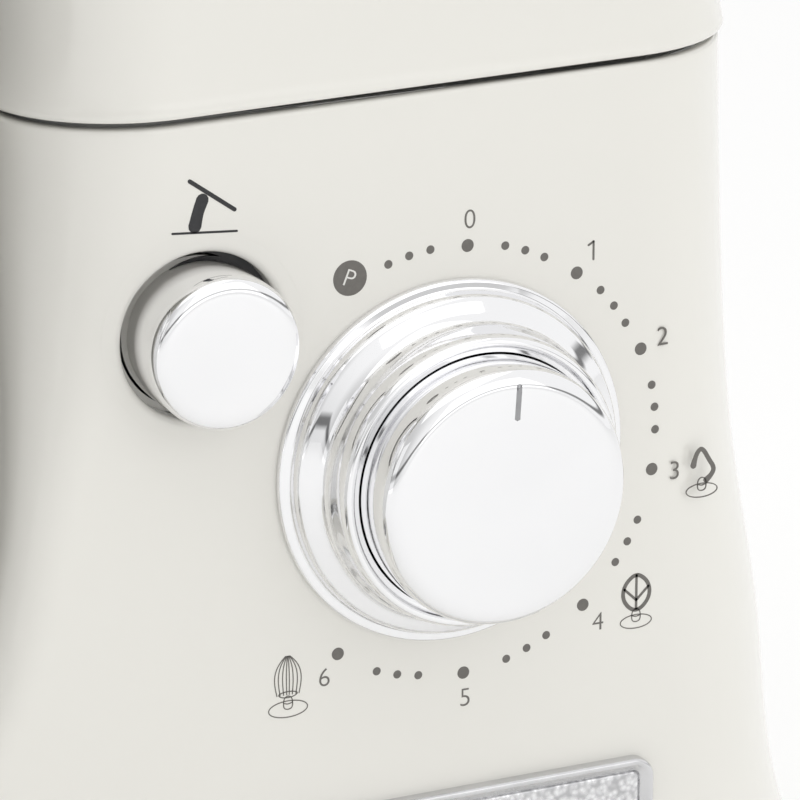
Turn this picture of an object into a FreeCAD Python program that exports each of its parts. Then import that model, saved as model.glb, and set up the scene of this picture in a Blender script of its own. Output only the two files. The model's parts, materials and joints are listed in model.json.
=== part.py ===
import FreeCAD, Part
import math
import os

Vector = FreeCAD.Vector

# Tilt-head stand mixer, millimetres. Origin: middle of the footprint, on the worktop.
# +Z up, -Y the bowl end (front), +X the side with the speed dial.

# ---- overall ----
half_length = 206.0
base_z = 5.0
wall = 3.0
cover_gap = 0.3
seam_gap = 1.2
column_top_z = 202.0

# ---- base platform ----
base_plate_thickness = 2.5
platform_radius = 115.0
platform_top_z = 46.0
platform_edge_radius = 12.0
waist_radius = 90.0
waist_inset = 1.0
platform_tail_reach = 59.0

# ---- column ----
rear_spread = 37.0
column_depth = 143.0
deck_thickness = 3.0
column_half_width = 62.0
column_flare = 12.0
column_flare_top_z = 62.0
column_rear_fall = 72.0
column_front_sweep = 211.0
column_front_fall = 35.0
corner_radius = 27.0
corner_radius_low = 10.0
corner_blend_low_z = 120.0
corner_blend_high_z = 200.0
rear_corner_spread = 18.0
rear_corner_fall = 60.0

# ---- head ----
neck_height = 56.0
arm_overhang = 1.0
nose_setback = 8.0
lower_casing_height = 18.0
dome_height = 68.0
cover_post_radius = 5.0
screw_head_room = 6.0
vent_half_width = 28.0
nose_cap_radius = 23.0
nose_corner_radius = 58.0
arm_edge_radius = 14.0
dome_inset = 45.0
throat_radius = 30.0
trim_thickness = 1.6
trim_half_height = 3.0
trim_gap = 0.1

# ---- planetary drive ----
carrier_thickness = 18.0
ring_gear_height = 16.0
ring_teeth = 44
planet_teeth = 13
frame_thickness = 4.0
boss_height = 20.0
bearing_height = 7.0
carrier_bearing_radius = 16.0
lay_bearing_radius = 9.0
layshaft_radius = 5.0
motor_post_reach = 33.0
motor_post_radius = 4.0
bell_radius = 50.0
fan_radius = 36.0
fan_height = 8.0
rotor_gap = 1.0
rotor_radius = 25.0
housing_radius = 57.0
planet_offset = 31.0
ring_pitch_radius = 44.0
tooth_height = 1.4
mesh_gap = 0.3
carrier_radius = 50.0
carrier_shaft_radius = 8.0
gear_radius = 47.0
pinion_radius = 13.0
gear_width = 10.0
run_gap = 0.05
big_pulley_radius = 40.0
motor_pulley_radius = 9.0
belt_width = 8.0
belt_thickness = 2.0
belt_gap = 0.3
flange_height = 2.5
flange_thickness = 1.6
motor_radius = 42.0
motor_shaft_radius = 4.0
bell_thickness = 4.0

# ---- tool ----
beater_hub_radius = 10.5
beater_hub_length = 30.0
tool_shaft_radius = 6.0
beater_bottom_z = 62.0
beater_thickness = 8.0
beater_rib = 7.0
beater_half_width = 49.0
drip_disc_radius = 28.0

# ---- bowl ----
lug_span = 36.0
lug_angles = [30, 150, 270]
bowl_bottom_z = 55.0
bowl_wall = 1.4
bowl_flat_radius = 46.0
bowl_base_bend = 46.0
bowl_side_bend = 652.0
foot_ring_radius = 62.0
foot_ring_wall = 4.0
seat_gap = 0.4
seat_width = 20.0
seat_height = 7.0
lug_reach = 3.6
lug_thickness = 2.0

# ---- dial ----
dial_setback = 63.0
knob_gap = 0.8
knob_edge = 3.5
knob_dome = 1.5
knob_back = 2.0
hub_radius = 7.0
pot_bushing_radius = 5.0
pcb_thickness = 1.6
pcb_half_y = 26.0
pcb_half_z = 30.0
pcb_post_radius = 3.5
pcb_screw_radius = 1.4
dial_z = 130.0
bezel_width = 9.8
bezel_height = 15.0
knob_radius = 24.9
knob_height = 26.0
pointer_width = 1.3
pointer_start = 14.0
pointer_end = 21.0
off_angle = 5.0
pot_shaft_radius = 3.0

# ---- tilt button and latch ----
button_forward = 51.4
button_rise = 30.7
button_gap = 1.4
button_stem_radius = 4.0
guide_wall = 2.5
spring_radius = 7.5
spring_wire = 1.2
lever_half_width = 3.0
lever_half_depth = 6.0
lever_bore_radius = 2.5
touch_gap = 0.3
striker_half_length = 15.0
deck_slot_margin = 4.0
bracket_flange_reach = 5.0
button_radius = 15.0
button_height = 12.0
striker_radius = 2.0
latch_gap = 0.4

# ---- badge plate ----
badge_width = 84.0
badge_height = 22.0
badge_top_z = 64.3
badge_corner = 4.0

# ---- hinge ----
hinge_setback = 2.0
leaf_screw_x = 18.0
leaf_screw_inset = 22.0
barrel_radius = 6.0
barrel_gap = 0.6
hinge_pin_radius = 3.0
head_knuckle_half = 9.7
stand_knuckle_start = 10.0
stand_knuckle_end = 24.0
leaf_thickness = 3.0
leaf_length = 30.0

# ---- feet, screws and inlet ----
foot_inset = 20.0
foot_angle = 32.0
rear_foot_inset_x = 14.0
rear_foot_inset_y = 38.0
screw_circle_inset = 32.0
screw_post_radius = 6.0
screw_depth = 12.0
inlet_body_radius = 9.0
foot_radius = 15.0
screw_radius = 2.0
screw_head_radius = 4.0
cord_bore_radius = 4.0
inlet_z = 32.0


# ---- places that follow from the sizes ----
bowl_axis_y = platform_radius - half_length
column_rear_y = half_length - rear_spread
column_front_y = column_rear_y - column_depth
platform_tail_y = column_rear_y - platform_tail_reach
panel_x = column_half_width
seat_z = platform_top_z
seat_outer_radius = foot_ring_radius + seat_width
head_bottom_z = column_top_z + seam_gap
hinge_y = column_rear_y + hinge_setback
hinge_z = column_top_z + seam_gap / 2
arm_half_width = column_half_width + arm_overhang
arm_nose_y = nose_setback - half_length
arm_rear_y = column_rear_y + 3
arm_bottom_z = column_top_z + neck_height
split_z = arm_bottom_z + lower_casing_height
dome_start_z = split_z + 2 * trim_half_height
head_top_z = dome_start_z + dome_height
throat_start_z = arm_bottom_z - throat_radius + 4
vent_low_z = column_top_z + 20
vent_high_z = arm_bottom_z - 2
nose_cap_z = split_z + 16
housing_bottom_z = column_top_z + 11
housing_roof_z = arm_bottom_z - 2
carrier_bottom_z = housing_bottom_z - 1
carrier_top_z = carrier_bottom_z + carrier_thickness
ring_gear_z = housing_roof_z - ring_gear_height
frame_floor_z = arm_bottom_z + wall
boss_top_z = frame_floor_z + boss_height
gear_z = boss_top_z + 5
carrier_shaft_top_z = gear_z + gear_width + 4
belt_z = gear_z + gear_width + 19
motor_y = column_rear_y - 71
motor_bottom_z = column_top_z + 24
motor_top_z = belt_z - 19
fan_low_z = motor_bottom_z - 14
planet_y = bowl_axis_y - planet_offset
planet_pitch_radius = ring_pitch_radius - planet_offset
layshaft_y = bowl_axis_y + gear_radius + pinion_radius
tool_shaft_top_z = housing_roof_z - 2
drip_disc_z = column_top_z - 4
beater_hub_top_z = drip_disc_z - 2
beater_leaf_top_z = beater_hub_top_z - 18
tool_shaft_bottom_z = beater_hub_top_z - 26
dial_y = column_rear_y - dial_setback
button_y = dial_y - button_forward
button_z = dial_z + button_rise
bezel_inner_radius = knob_radius + knob_gap
bezel_radius = bezel_inner_radius + bezel_width
button_hole_radius = button_radius + button_gap
button_back_x = panel_x - 8
guide_front_x = panel_x - 4.5
guide_back_x = panel_x - 19.5
latch_pivot_x = panel_x - 24
latch_pivot_z = button_z + 15.3
striker_x = latch_pivot_x - lever_half_width - striker_radius - 3
striker_z = column_top_z - 14
pcb_x = panel_x - 25
badge_front_x = panel_x + 2.4
badge_back_x = panel_x - 1.2


# ---------------------------------------------------------------- basic shapes

def at(x, y, z):
    return Vector(x, y, z)


def rod(radius, start, end):
    # solid cylinder between two points
    along = end - start
    return Part.makeCylinder(radius, along.Length, start, along)


def tube(outer, inner, start, end):
    return rod(outer, start, end).cut(rod(inner, start, end))


def upright(radius, y, low_z, high_z, x=0.0):
    return rod(radius, at(x, y, low_z), at(x, y, high_z))


def upright_tube(outer, inner, y, low_z, high_z, x=0.0):
    return upright(outer, y, low_z, high_z, x).cut(upright(inner, y, low_z, high_z, x))


def block(low, high):
    size = high - low
    return Part.makeBox(size.x, size.y, size.z, low)


def fuse_all(shapes):
    first, rest = shapes[0], shapes[1:]
    return first.fuse(rest).removeSplitter()


def revolved(points, origin, axis):
    # points are (radius, height along the axis), joined by straight lines, turned a full circle
    side = at(0, 0, 1).cross(axis)
    if side.Length < 0.5:
        side = at(1, 0, 0)
    outline = [origin + side * radius + axis * height for radius, height in points]
    face = Part.Face(Part.makePolygon(outline + [outline[0]]))
    return face.revolve(origin, axis, 360)


def rounded_outline(z, half_x, low_y, high_y, low_radius, high_radius):
    # closed plan outline of a rectangle whose front and rear corners have their own radii
    cut = 1 - math.sqrt(0.5)
    edges = []
    low_in, high_in = low_radius * cut, high_radius * cut
    corners = [
        [(half_x - low_radius, low_y), (half_x - low_in, low_y + low_in), (half_x, low_y + low_radius)],
        [(half_x, high_y - high_radius), (half_x - high_in, high_y - high_in), (half_x - high_radius, high_y)],
        [(high_radius - half_x, high_y), (high_in - half_x, high_y - high_in), (-half_x, high_y - high_radius)],
        [(-half_x, low_y + low_radius), (low_in - half_x, low_y + low_in), (low_radius - half_x, low_y)],
    ]
    points = [[at(x, y, z) for x, y in corner] for corner in corners]
    for number in range(4):
        start, middle, end = points[number]
        edges.append(Part.Arc(start, middle, end).toShape())
        edges.append(Part.LineSegment(end, points[(number + 1) % 4][0]).toShape())
    return Part.Wire(edges)


def loft(outlines):
    return Part.makeLoft(outlines, True, False)


# ---------------------------------------------------------------- column and base

def smooth_step(value):
    value = min(max(value, 0.0), 1.0)
    return value * value * (3 - 2 * value)


def column_half(z):
    low = max(column_flare_top_z - z, 0.0) / (column_flare_top_z - base_z)
    return column_half_width + column_flare * low ** 2.2


def column_rear(z):
    return column_rear_y + (half_length - column_rear_y) * math.exp((base_z - z) / column_rear_fall)


def column_front(z):
    return column_front_y - column_front_sweep * math.exp(-z / column_front_fall)


def column_outline(z, inset=0.0):
    blend = smooth_step((z - corner_blend_low_z) / (corner_blend_high_z - corner_blend_low_z))
    front_corner = corner_radius_low + (corner_radius - corner_radius_low) * blend
    rear_corner = corner_radius + rear_corner_spread * math.exp(-z / rear_corner_fall)
    return rounded_outline(z, column_half(z) - inset, column_front(z) + inset, column_rear(z) - inset,
                           front_corner - inset, rear_corner - inset)


def column_solid(inset=0.0, low_z=base_z, high_z=column_top_z):
    levels = [12, 20, 30, 40, 50, 60, 72, 86, 102, 120, 140, 160, 180]
    heights = [low_z] + [z for z in levels if low_z + 3 < z < high_z - 3] + [high_z]
    return loft([column_outline(z, inset) for z in heights])


def platform_solid(inset=0.0, low_z=base_z):
    # round platform under the bowl, blended by concave waists into the column's sides
    side_x = column_half_width - waist_inset - inset
    centre = at(0, bowl_axis_y, low_z)
    reach = platform_radius + waist_radius
    waist_x = column_half_width - waist_inset + waist_radius
    waist_y = bowl_axis_y + math.sqrt(reach ** 2 - waist_x ** 2)
    radius = platform_radius - inset
    high_z = platform_top_z - inset
    right_waist = at(waist_x, waist_y, low_z)
    touch = centre + (right_waist - centre) * (radius / reach)
    toward_circle = (touch - right_waist).normalize()
    middle_way = (toward_circle + at(-1, 0, 0)).normalize()
    middle = right_waist + middle_way * (waist_radius + inset)
    end = at(side_x, waist_y, low_z)
    tail = at(side_x, platform_tail_y, low_z)

    def mirrored(point):
        return at(-point.x, point.y, point.z)

    edges = [
        Part.Arc(mirrored(touch), centre - at(0, radius, 0), touch).toShape(),
        Part.Arc(touch, middle, end).toShape(),
        Part.LineSegment(end, tail).toShape(),
        Part.LineSegment(tail, mirrored(tail)).toShape(),
        Part.LineSegment(mirrored(tail), mirrored(end)).toShape(),
        Part.Arc(mirrored(end), mirrored(middle), mirrored(touch)).toShape(),
    ]
    prism = Part.Face(Part.Wire(edges)).extrude(at(0, 0, high_z - low_z))
    rim = [edge for edge in prism.Edges
           if edge.BoundBox.ZMin > high_z - 0.01 and edge.BoundBox.YMin < waist_y - 1]
    return prism.makeFillet(platform_edge_radius - inset, rim)


def on_platform(reach, angle):
    turn = math.radians(angle)
    return (reach * math.cos(turn), bowl_axis_y + reach * math.sin(turn))


screw_circle = platform_radius - screw_circle_inset
foot_circle = platform_radius - foot_inset
base_screw_places = [on_platform(screw_circle, angle) for angle in (-120, -60, 165, 15)]
base_screw_places += [(side * (column_half_width - 1), platform_tail_y + 15) for side in (-1, 1)]
foot_places = [on_platform(foot_circle, angle) for angle in (-90, foot_angle - 180, -foot_angle)]
foot_places += [(side * (column_half_width - rear_foot_inset_x), half_length - rear_foot_inset_y)
                for side in (-1, 1)]
foot_names = ["foot_front", "foot_front_left", "foot_front_right", "foot_rear_left", "foot_rear_right"]
base_plate_top_z = base_z + base_plate_thickness
low_post_top_z = platform_top_z - wall + 1


def dial_axis_point(x):
    return at(x, dial_y, dial_z)


def button_axis_point(x):
    return at(x, button_y, button_z)


def hinge_notch(low_z, high_z):
    # room round the hinge barrel, and for its leaves to pass the rear wall
    half = stand_knuckle_end + cover_gap
    radius = barrel_radius + barrel_gap
    barrel = rod(radius, at(-half, hinge_y, hinge_z), at(half, hinge_y, hinge_z))
    passage = block(at(-half, hinge_y - radius, low_z), at(half, hinge_y + radius, high_z))
    return barrel.fuse(passage)


deck_top_z = column_top_z - 0.6
deck_bottom_z = deck_top_z - deck_thickness
pcb_screw_places = [(sy * (pcb_half_y - 5), sz * (pcb_half_z - 5)) for sy in (-1, 1) for sz in (-1, 1)]


def badge_outline(x, inset):
    half = badge_width / 2 - inset
    low_z = badge_top_z - badge_height + inset
    plate = rounded_outline(0, half, low_z, badge_top_z - inset, badge_corner - inset, badge_corner - inset)
    # the outline is drawn flat, then stood up on the column's side
    turn = FreeCAD.Matrix(0, 0, 1, x, 1, 0, 0, dial_y, 0, 1, 0, 0, 0, 0, 0, 1)
    return Part.Face(plate.transformGeometry(turn))


def badge_block(inset, low_x, high_x):
    return badge_outline(low_x, inset).extrude(at(high_x - low_x, 0, 0))


def make_stand_shell():
    outer = column_solid().fuse(platform_solid())
    inner = column_solid(wall, base_z - 1, column_top_z + 1).fuse(platform_solid(wall, base_z - 1))
    posts = [upright(screw_post_radius, y, base_plate_top_z, low_post_top_z, x)
             for x, y in base_screw_places]
    wall_x = panel_x - wall + 0.5
    posts += [rod(pcb_post_radius, at(pcb_x + pcb_thickness, dial_y + dy, dial_z + dz),
                  at(wall_x, dial_y + dy, dial_z + dz)) for dy, dz in pcb_screw_places]
    ledge_half = column_half_width - wall + 0.5
    ledge_z = deck_bottom_z - 5
    for side in (-1, 1):
        inner_x = side * (ledge_half - 7)
        low_x, high_x = min(inner_x, side * ledge_half), max(inner_x, side * ledge_half)
        posts.append(block(at(low_x, column_front_y + 44, ledge_z), at(high_x, column_rear_y - 39, deck_bottom_z)))
    shell = outer.cut(inner).fuse([post.common(outer) for post in posts])
    holes = [
        rod(pot_bushing_radius + 0.1, dial_axis_point(panel_x - 12), dial_axis_point(panel_x + 8)),
        rod(button_hole_radius, button_axis_point(panel_x - 17), button_axis_point(panel_x + 13)),
        badge_block(-0.15, badge_back_x, badge_front_x + 10),
        rod(inlet_body_radius + 0.1, at(0, column_rear(inlet_z) - 12, inlet_z), at(0, half_length, inlet_z)),
        hinge_notch(deck_bottom_z - leaf_thickness - cover_gap, column_top_z + 2),
    ]
    holes += [upright(screw_radius, y, base_plate_top_z, base_plate_top_z + screw_depth, x)
              for x, y in base_screw_places]
    holes += [rod(pcb_screw_radius, at(pcb_x, dial_y + dy, dial_z + dz),
                  at(pcb_x + 12, dial_y + dy, dial_z + dz)) for dy, dz in pcb_screw_places]
    for hole in holes:
        shell = shell.cut(hole)
    return shell


def make_base_plate():
    gap = wall + cover_gap
    filled = column_solid(gap, base_z - 1, platform_top_z).fuse(platform_solid(gap, base_z - 1))
    slab = block(at(-200, -300, base_z), at(200, 300, base_plate_top_z))
    plate = filled.common(slab)
    for x, y in base_screw_places:
        plate = plate.cut(upright(screw_radius, y, base_z - 1, base_plate_top_z + 1, x))
    return plate


def make_base_screws():
    screws = []
    for x, y in base_screw_places:
        head = upright(screw_head_radius, y, base_z - 2.2, base_z, x)
        shank = upright(screw_radius, y, base_z, base_plate_top_z + screw_depth, x)
        screws.append(head.fuse(shank).removeSplitter())
    return Part.makeCompound(screws)


def make_foot(x, y):
    profile = [(9, 0), (foot_radius - 1.5, 0), (foot_radius - 0.7, 0.8), (foot_radius, base_z),
               (0, base_z), (0, 1), (8, 1)]
    return revolved(profile, at(x, y, 0), at(0, 0, 1))


def make_column_deck():
    gap = wall + 0.1
    plate = Part.Face(column_outline(deck_bottom_z, gap)).extrude(at(0, 0, deck_thickness))
    slot_half = striker_half_length + deck_slot_margin
    slot = block(at(striker_x - 6, button_y - slot_half, deck_bottom_z - 1),
                 at(latch_pivot_x + 6, button_y + slot_half, deck_top_z + 1))
    wire_hole = upright(8, dial_y + 14, deck_bottom_z - 1, deck_top_z + 1)
    return plate.cut(slot).cut(wire_hole).cut(hinge_notch(deck_bottom_z, column_top_z + 2))


def make_bowl_seat():
    inner = foot_ring_radius + lug_reach + lug_thickness / 2 + seat_gap
    floor_z = seat_z + 2
    rim_z = seat_z + seat_height
    profile = [(0, 0), (seat_outer_radius, 0), (seat_outer_radius, 3), (seat_outer_radius - 3, seat_height),
               (inner, seat_height), (inner, 2), (0, 2)]
    seat = revolved(profile, at(0, bowl_axis_y, seat_z), at(0, 0, 1))
    lug_low_z = floor_z + seat_gap + lug_thickness + seat_gap
    ring = upright_tube(inner + 1, foot_ring_radius + seat_gap, bowl_axis_y, lug_low_z, rim_z)
    lugs = [ring.common(sector(angle, lug_span, lug_low_z, rim_z)) for angle in lug_angles]
    column = column_solid(-cover_gap, seat_z - 5, seat_z + 2 * seat_height)
    return fuse_all([seat] + lugs).cut(column)


def sector(angle, span, low_z, high_z):
    # wedge of the disc round the bowl's axis
    half = math.radians(span / 2)
    middle = math.radians(angle)
    reach = platform_radius
    centre = at(0, bowl_axis_y, low_z)
    corners = [centre]
    for turn in (-half, 0, half):
        corners.append(centre + at(math.cos(middle + turn), math.sin(middle + turn), 0) * reach)
    corners.append(centre)
    return Part.Face(Part.makePolygon(corners)).extrude(at(0, 0, high_z - low_z))


# ---------------------------------------------------------------- dial and controls

def make_speed_bezel():
    profile = [
        (bezel_radius - 0.5, 0), (bezel_radius, 0.5), (bezel_radius, 1.0), (bezel_radius - 0.5, 1.5),
        (bezel_radius - 2.0, 1.7), (bezel_radius - 2.3, 2.2), (bezel_radius - 2.4, 3.6), (bezel_radius - 2.7, 4.4),
        (bezel_radius - 3.4, 5.0), (bezel_radius - 5.6, 6.4), (bezel_radius - 6.6, 7.6), (bezel_radius - 7.0, 8.8),
        (bezel_radius - 7.1, bezel_height - 2.0), (bezel_radius - 7.6, bezel_height - 0.6),
        (bezel_radius - 8.6, bezel_height), (bezel_inner_radius + 0.4, bezel_height),
        (bezel_inner_radius, bezel_height - 0.5), (bezel_inner_radius, 0),
    ]
    return revolved(profile, dial_axis_point(panel_x), at(1, 0, 0))


def make_speed_knob():
    side_top = knob_height - knob_dome - knob_edge
    profile = [(pot_shaft_radius, knob_back), (hub_radius, knob_back), (hub_radius, side_top - 1),
               (knob_radius - wall, side_top - 1), (knob_radius - wall, knob_back), (knob_radius, knob_back),
               (knob_radius, side_top)]
    for step in range(1, 7):
        turn = math.radians(step * 13)
        profile.append((knob_radius - knob_edge * (1 - math.cos(turn)), side_top + knob_edge * math.sin(turn)))
    face_radius = profile[-1][0]
    face_height = profile[-1][1]
    for share in (0.75, 0.5, 0.25, 0.0):
        height = knob_height - (knob_height - face_height) * share ** 2
        profile.append((face_radius * share, height))
    profile.append((0, side_top + 1))
    profile.append((pot_shaft_radius, side_top + 1))
    return revolved(profile, dial_axis_point(panel_x), at(1, 0, 0))


def make_knob_pointer():
    low_x = panel_x + knob_height - 2.5
    bar = block(at(low_x, dial_y - pointer_width / 2, dial_z + pointer_start),
                at(panel_x + knob_height - 0.5, dial_y + pointer_width / 2, dial_z + pointer_end))
    bar.rotate(dial_axis_point(0), at(-1, 0, 0), off_angle)
    return bar.cut(make_speed_knob())


def make_pot_shaft():
    side_top = knob_height - knob_dome - knob_edge
    start = dial_axis_point(pcb_x + pcb_thickness + 4)
    return rod(pot_shaft_radius, start, dial_axis_point(panel_x + side_top + 1))


def make_speed_pot():
    back_x = pcb_x + pcb_thickness
    wall_x = panel_x - wall
    body = rod(11, dial_axis_point(back_x), dial_axis_point(wall_x))
    bushing = rod(pot_bushing_radius, dial_axis_point(wall_x), dial_axis_point(panel_x + 1.5))
    bore = rod(pot_shaft_radius + run_gap, dial_axis_point(back_x + 3), dial_axis_point(panel_x + 5))
    return body.fuse(bushing).removeSplitter().cut(bore)


def make_control_pcb():
    board = block(at(pcb_x, dial_y - pcb_half_y, dial_z - pcb_half_z),
                  at(pcb_x + pcb_thickness, dial_y + pcb_half_y, dial_z + pcb_half_z))
    parts = [block(at(pcb_x - 10, dial_y - 20, dial_z - 22), at(pcb_x, dial_y - 4, dial_z - 6)),
             block(at(pcb_x - 7, dial_y + 4, dial_z - 22), at(pcb_x, dial_y + 18, dial_z - 12)),
             rod(6, at(pcb_x - 14, dial_y + 12, dial_z + 12), at(pcb_x, dial_y + 12, dial_z + 12))]
    board = fuse_all([board] + parts)
    for dy, dz in pcb_screw_places:
        hole = rod(pcb_screw_radius, at(pcb_x - 1, dial_y + dy, dial_z + dz),
                   at(pcb_x + 5, dial_y + dy, dial_z + dz))
        board = board.cut(hole)
    return board


def make_pcb_screws():
    screws = []
    for dy, dz in pcb_screw_places:
        y, z = dial_y + dy, dial_z + dz
        head = rod(2.8, at(pcb_x - 2, y, z), at(pcb_x, y, z))
        shank = rod(pcb_screw_radius, at(pcb_x, y, z), at(pcb_x + 11, y, z))
        screws.append(head.fuse(shank).removeSplitter())
    return Part.makeCompound(screws)


def make_tilt_button():
    face_x = panel_x + button_height
    profile = [(0, 0), (button_radius, 0), (button_radius, face_x - button_back_x - 2.6)]
    for step in range(1, 6):
        turn = math.radians(step * 14)
        profile.append((button_radius - 2.0 * (1 - math.cos(turn)),
                        face_x - button_back_x - 2.6 + 1.6 * math.sin(turn)))
    edge_radius, edge_height = profile[-1]
    top = face_x - button_back_x
    for share in (0.7, 0.4, 0.0):
        profile.append((edge_radius * share, top - (top - edge_height) * share ** 2))
    cap = revolved(profile, button_axis_point(button_back_x), at(1, 0, 0))
    stem = rod(button_stem_radius, button_axis_point(latch_pivot_x + lever_half_width + touch_gap),
               button_axis_point(button_back_x))
    return fuse_all([cap, stem])


def make_button_guide():
    inner = button_radius + 0.3
    sleeve = tube(inner + guide_wall, inner, button_axis_point(guide_back_x + 4), button_axis_point(guide_front_x))
    back = tube(inner + guide_wall, button_stem_radius + 0.3, button_axis_point(guide_back_x + 2.5),
                button_axis_point(guide_back_x + 4.0))
    ears = [block(at(guide_back_x + 4, button_y + inner, button_z - 5),
                  at(panel_x - wall, button_y + inner + 9, button_z + 5)),
            block(at(guide_back_x + 4, button_y - 5, button_z - inner - 9),
                  at(panel_x - wall, button_y + 5, button_z - inner))]
    bore = rod(inner, button_axis_point(guide_back_x + 4), button_axis_point(panel_x))
    return fuse_all([sleeve, back] + [ear.cut(bore) for ear in ears])


def make_button_spring():
    # coils drawn as a stack of rings between the guide's back plate and the cap
    start_x = guide_back_x + 4.0
    length = button_back_x - start_x
    rings = []
    turns = 5
    for turn in range(turns):
        x = start_x + spring_wire / 2 + (length - spring_wire) * turn / (turns - 1)
        rings.append(Part.makeTorus(spring_radius, spring_wire / 2, button_axis_point(x), at(1, 0, 0)))
    tie = rod(spring_wire / 2 * 0.8, at(start_x + 0.3, button_y, button_z + spring_radius),
              at(button_back_x - 0.3, button_y, button_z + spring_radius))
    return fuse_all(rings + [tie])


def make_latch_lever():
    arm_low_z = button_z - 5
    hook_z = striker_z + striker_radius + latch_gap
    arm = block(at(latch_pivot_x - lever_half_width, button_y - lever_half_depth, arm_low_z),
                at(latch_pivot_x + lever_half_width, button_y + lever_half_depth, hook_z + 4))
    eye = rod(5.5, at(latch_pivot_x, button_y - lever_half_depth, latch_pivot_z),
              at(latch_pivot_x, button_y + lever_half_depth, latch_pivot_z))
    hook = block(at(striker_x + striker_radius + latch_gap, button_y - lever_half_depth, hook_z),
                 at(latch_pivot_x, button_y + lever_half_depth, hook_z + 4))
    bore = rod(lever_bore_radius + run_gap, at(latch_pivot_x, button_y - 20, latch_pivot_z),
               at(latch_pivot_x, button_y + 20, latch_pivot_z))
    return fuse_all([arm, eye, hook]).cut(bore)


def make_latch_bracket():
    # two cheeks, one each side of the lever, hung by their flanges from the deck
    low_x = latch_pivot_x - 5
    high_x = guide_back_x - touch_gap
    slot_reach = striker_half_length + deck_slot_margin
    bore = rod(lever_bore_radius, at(latch_pivot_x, button_y - 20, latch_pivot_z),
               at(latch_pivot_x, button_y + 20, latch_pivot_z))
    cheeks = []
    for side in (-1, 1):
        near = button_y + side * (lever_half_depth + 1)
        far = button_y + side * (lever_half_depth + 3.5)
        end = button_y + side * (slot_reach + bracket_flange_reach)
        cheek = block(at(low_x, min(near, far), latch_pivot_z - 6), at(high_x, max(near, far), deck_bottom_z))
        flange = block(at(low_x, min(near, end), deck_bottom_z - 2.5), at(high_x, max(near, end), deck_bottom_z))
        cheeks.append(cheek.fuse(flange).removeSplitter().cut(bore))
    return Part.makeCompound(cheeks)


def make_latch_pin():
    reach = lever_half_depth + 4.5
    return rod(lever_bore_radius, at(latch_pivot_x, button_y - reach, latch_pivot_z),
               at(latch_pivot_x, button_y + reach, latch_pivot_z))


def make_latch_striker():
    ends = [button_y - striker_half_length, button_y + striker_half_length]
    bar = rod(striker_radius, at(striker_x, ends[0], striker_z), at(striker_x, ends[1], striker_z))
    plates = [block(at(striker_x - striker_radius, y - 1.2, striker_z - striker_radius),
                    at(striker_x + striker_radius, y + 1.2, head_bottom_z)) for y in ends]
    return fuse_all([bar] + plates)


def make_badge_plate():
    plate = badge_block(0, badge_back_x, badge_front_x)
    groove = badge_block(2.2, badge_front_x - 0.8, badge_front_x + 1).cut(
        badge_block(3.4, badge_front_x - 0.8, badge_front_x + 1))
    field = badge_block(3.4, badge_front_x - 0.4, badge_front_x + 1)
    return plate.cut(groove).cut(field)


def make_cord_inlet():
    outer_y = column_rear(inlet_z) + 3
    back_y = outer_y - 14
    profile = [(cord_bore_radius, 0), (12, 0), (12, 2.5), (inlet_body_radius, 2.5), (inlet_body_radius, 12.5),
               (inlet_body_radius - 1.5, 14), (cord_bore_radius + 0.8, 14), (cord_bore_radius, 13.2)]
    return revolved(profile, at(0, back_y, inlet_z), at(0, 1, 0))


# ---------------------------------------------------------------- hinge

def make_stand_leaf():
    low_z = deck_bottom_z - leaf_thickness
    parts = []
    for side in (-1, 1):
        start, end = side * stand_knuckle_start, side * stand_knuckle_end
        parts.append(rod(barrel_radius, at(start, hinge_y, hinge_z), at(end, hinge_y, hinge_z)))
        low_x, high_x = min(start, end), max(start, end)
        parts.append(block(at(low_x, hinge_y - 15, low_z), at(high_x, hinge_y + 2, deck_bottom_z)))
    parts.append(block(at(-stand_knuckle_end, hinge_y - leaf_length, low_z),
                       at(stand_knuckle_end, hinge_y - 12, deck_bottom_z)))
    bore = rod(hinge_pin_radius, at(-30, hinge_y, hinge_z), at(30, hinge_y, hinge_z))
    return fuse_all(parts).cut(bore).cut(leaf_screw_holes(low_z - 1, deck_bottom_z + 1))


def make_head_leaf():
    low_z = head_bottom_z + wall
    knuckle = rod(barrel_radius, at(-head_knuckle_half, hinge_y, hinge_z), at(head_knuckle_half, hinge_y, hinge_z))
    neck = block(at(-head_knuckle_half, hinge_y - 15, low_z),
                 at(head_knuckle_half, hinge_y + 2, low_z + leaf_thickness))
    leaf = block(at(-stand_knuckle_end, hinge_y - leaf_length, low_z),
                 at(stand_knuckle_end, hinge_y - 12, low_z + leaf_thickness))
    bore = rod(hinge_pin_radius + run_gap, at(-30, hinge_y, hinge_z), at(30, hinge_y, hinge_z))
    return fuse_all([knuckle, neck, leaf]).cut(bore).cut(leaf_screw_holes(low_z - 1, low_z + leaf_thickness + 1))


def leaf_screw_holes(low_z, high_z):
    y = hinge_y - leaf_screw_inset
    holes = [upright(screw_radius, y, low_z, high_z, x) for x in (-leaf_screw_x, leaf_screw_x)]
    return Part.makeCompound(holes)


def make_stand_hinge_screws():
    y = hinge_y - leaf_screw_inset
    low_z = deck_bottom_z - leaf_thickness
    screws = []
    for x in (-leaf_screw_x, leaf_screw_x):
        head = upright(screw_head_radius, y, low_z - 2.2, low_z, x)
        shank = upright(screw_radius, y, low_z, deck_bottom_z, x)
        screws.append(head.fuse(shank).removeSplitter())
    return Part.makeCompound(screws)


def make_head_hinge_screws():
    y = hinge_y - leaf_screw_inset
    top_z = head_bottom_z + wall + leaf_thickness
    screws = []
    for x in (-leaf_screw_x, leaf_screw_x):
        head = upright(screw_head_radius, y, top_z, top_z + 2.2, x)
        shank = upright(screw_radius, y, top_z - leaf_thickness, top_z, x)
        screws.append(head.fuse(shank).removeSplitter())
    return Part.makeCompound(screws)


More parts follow.
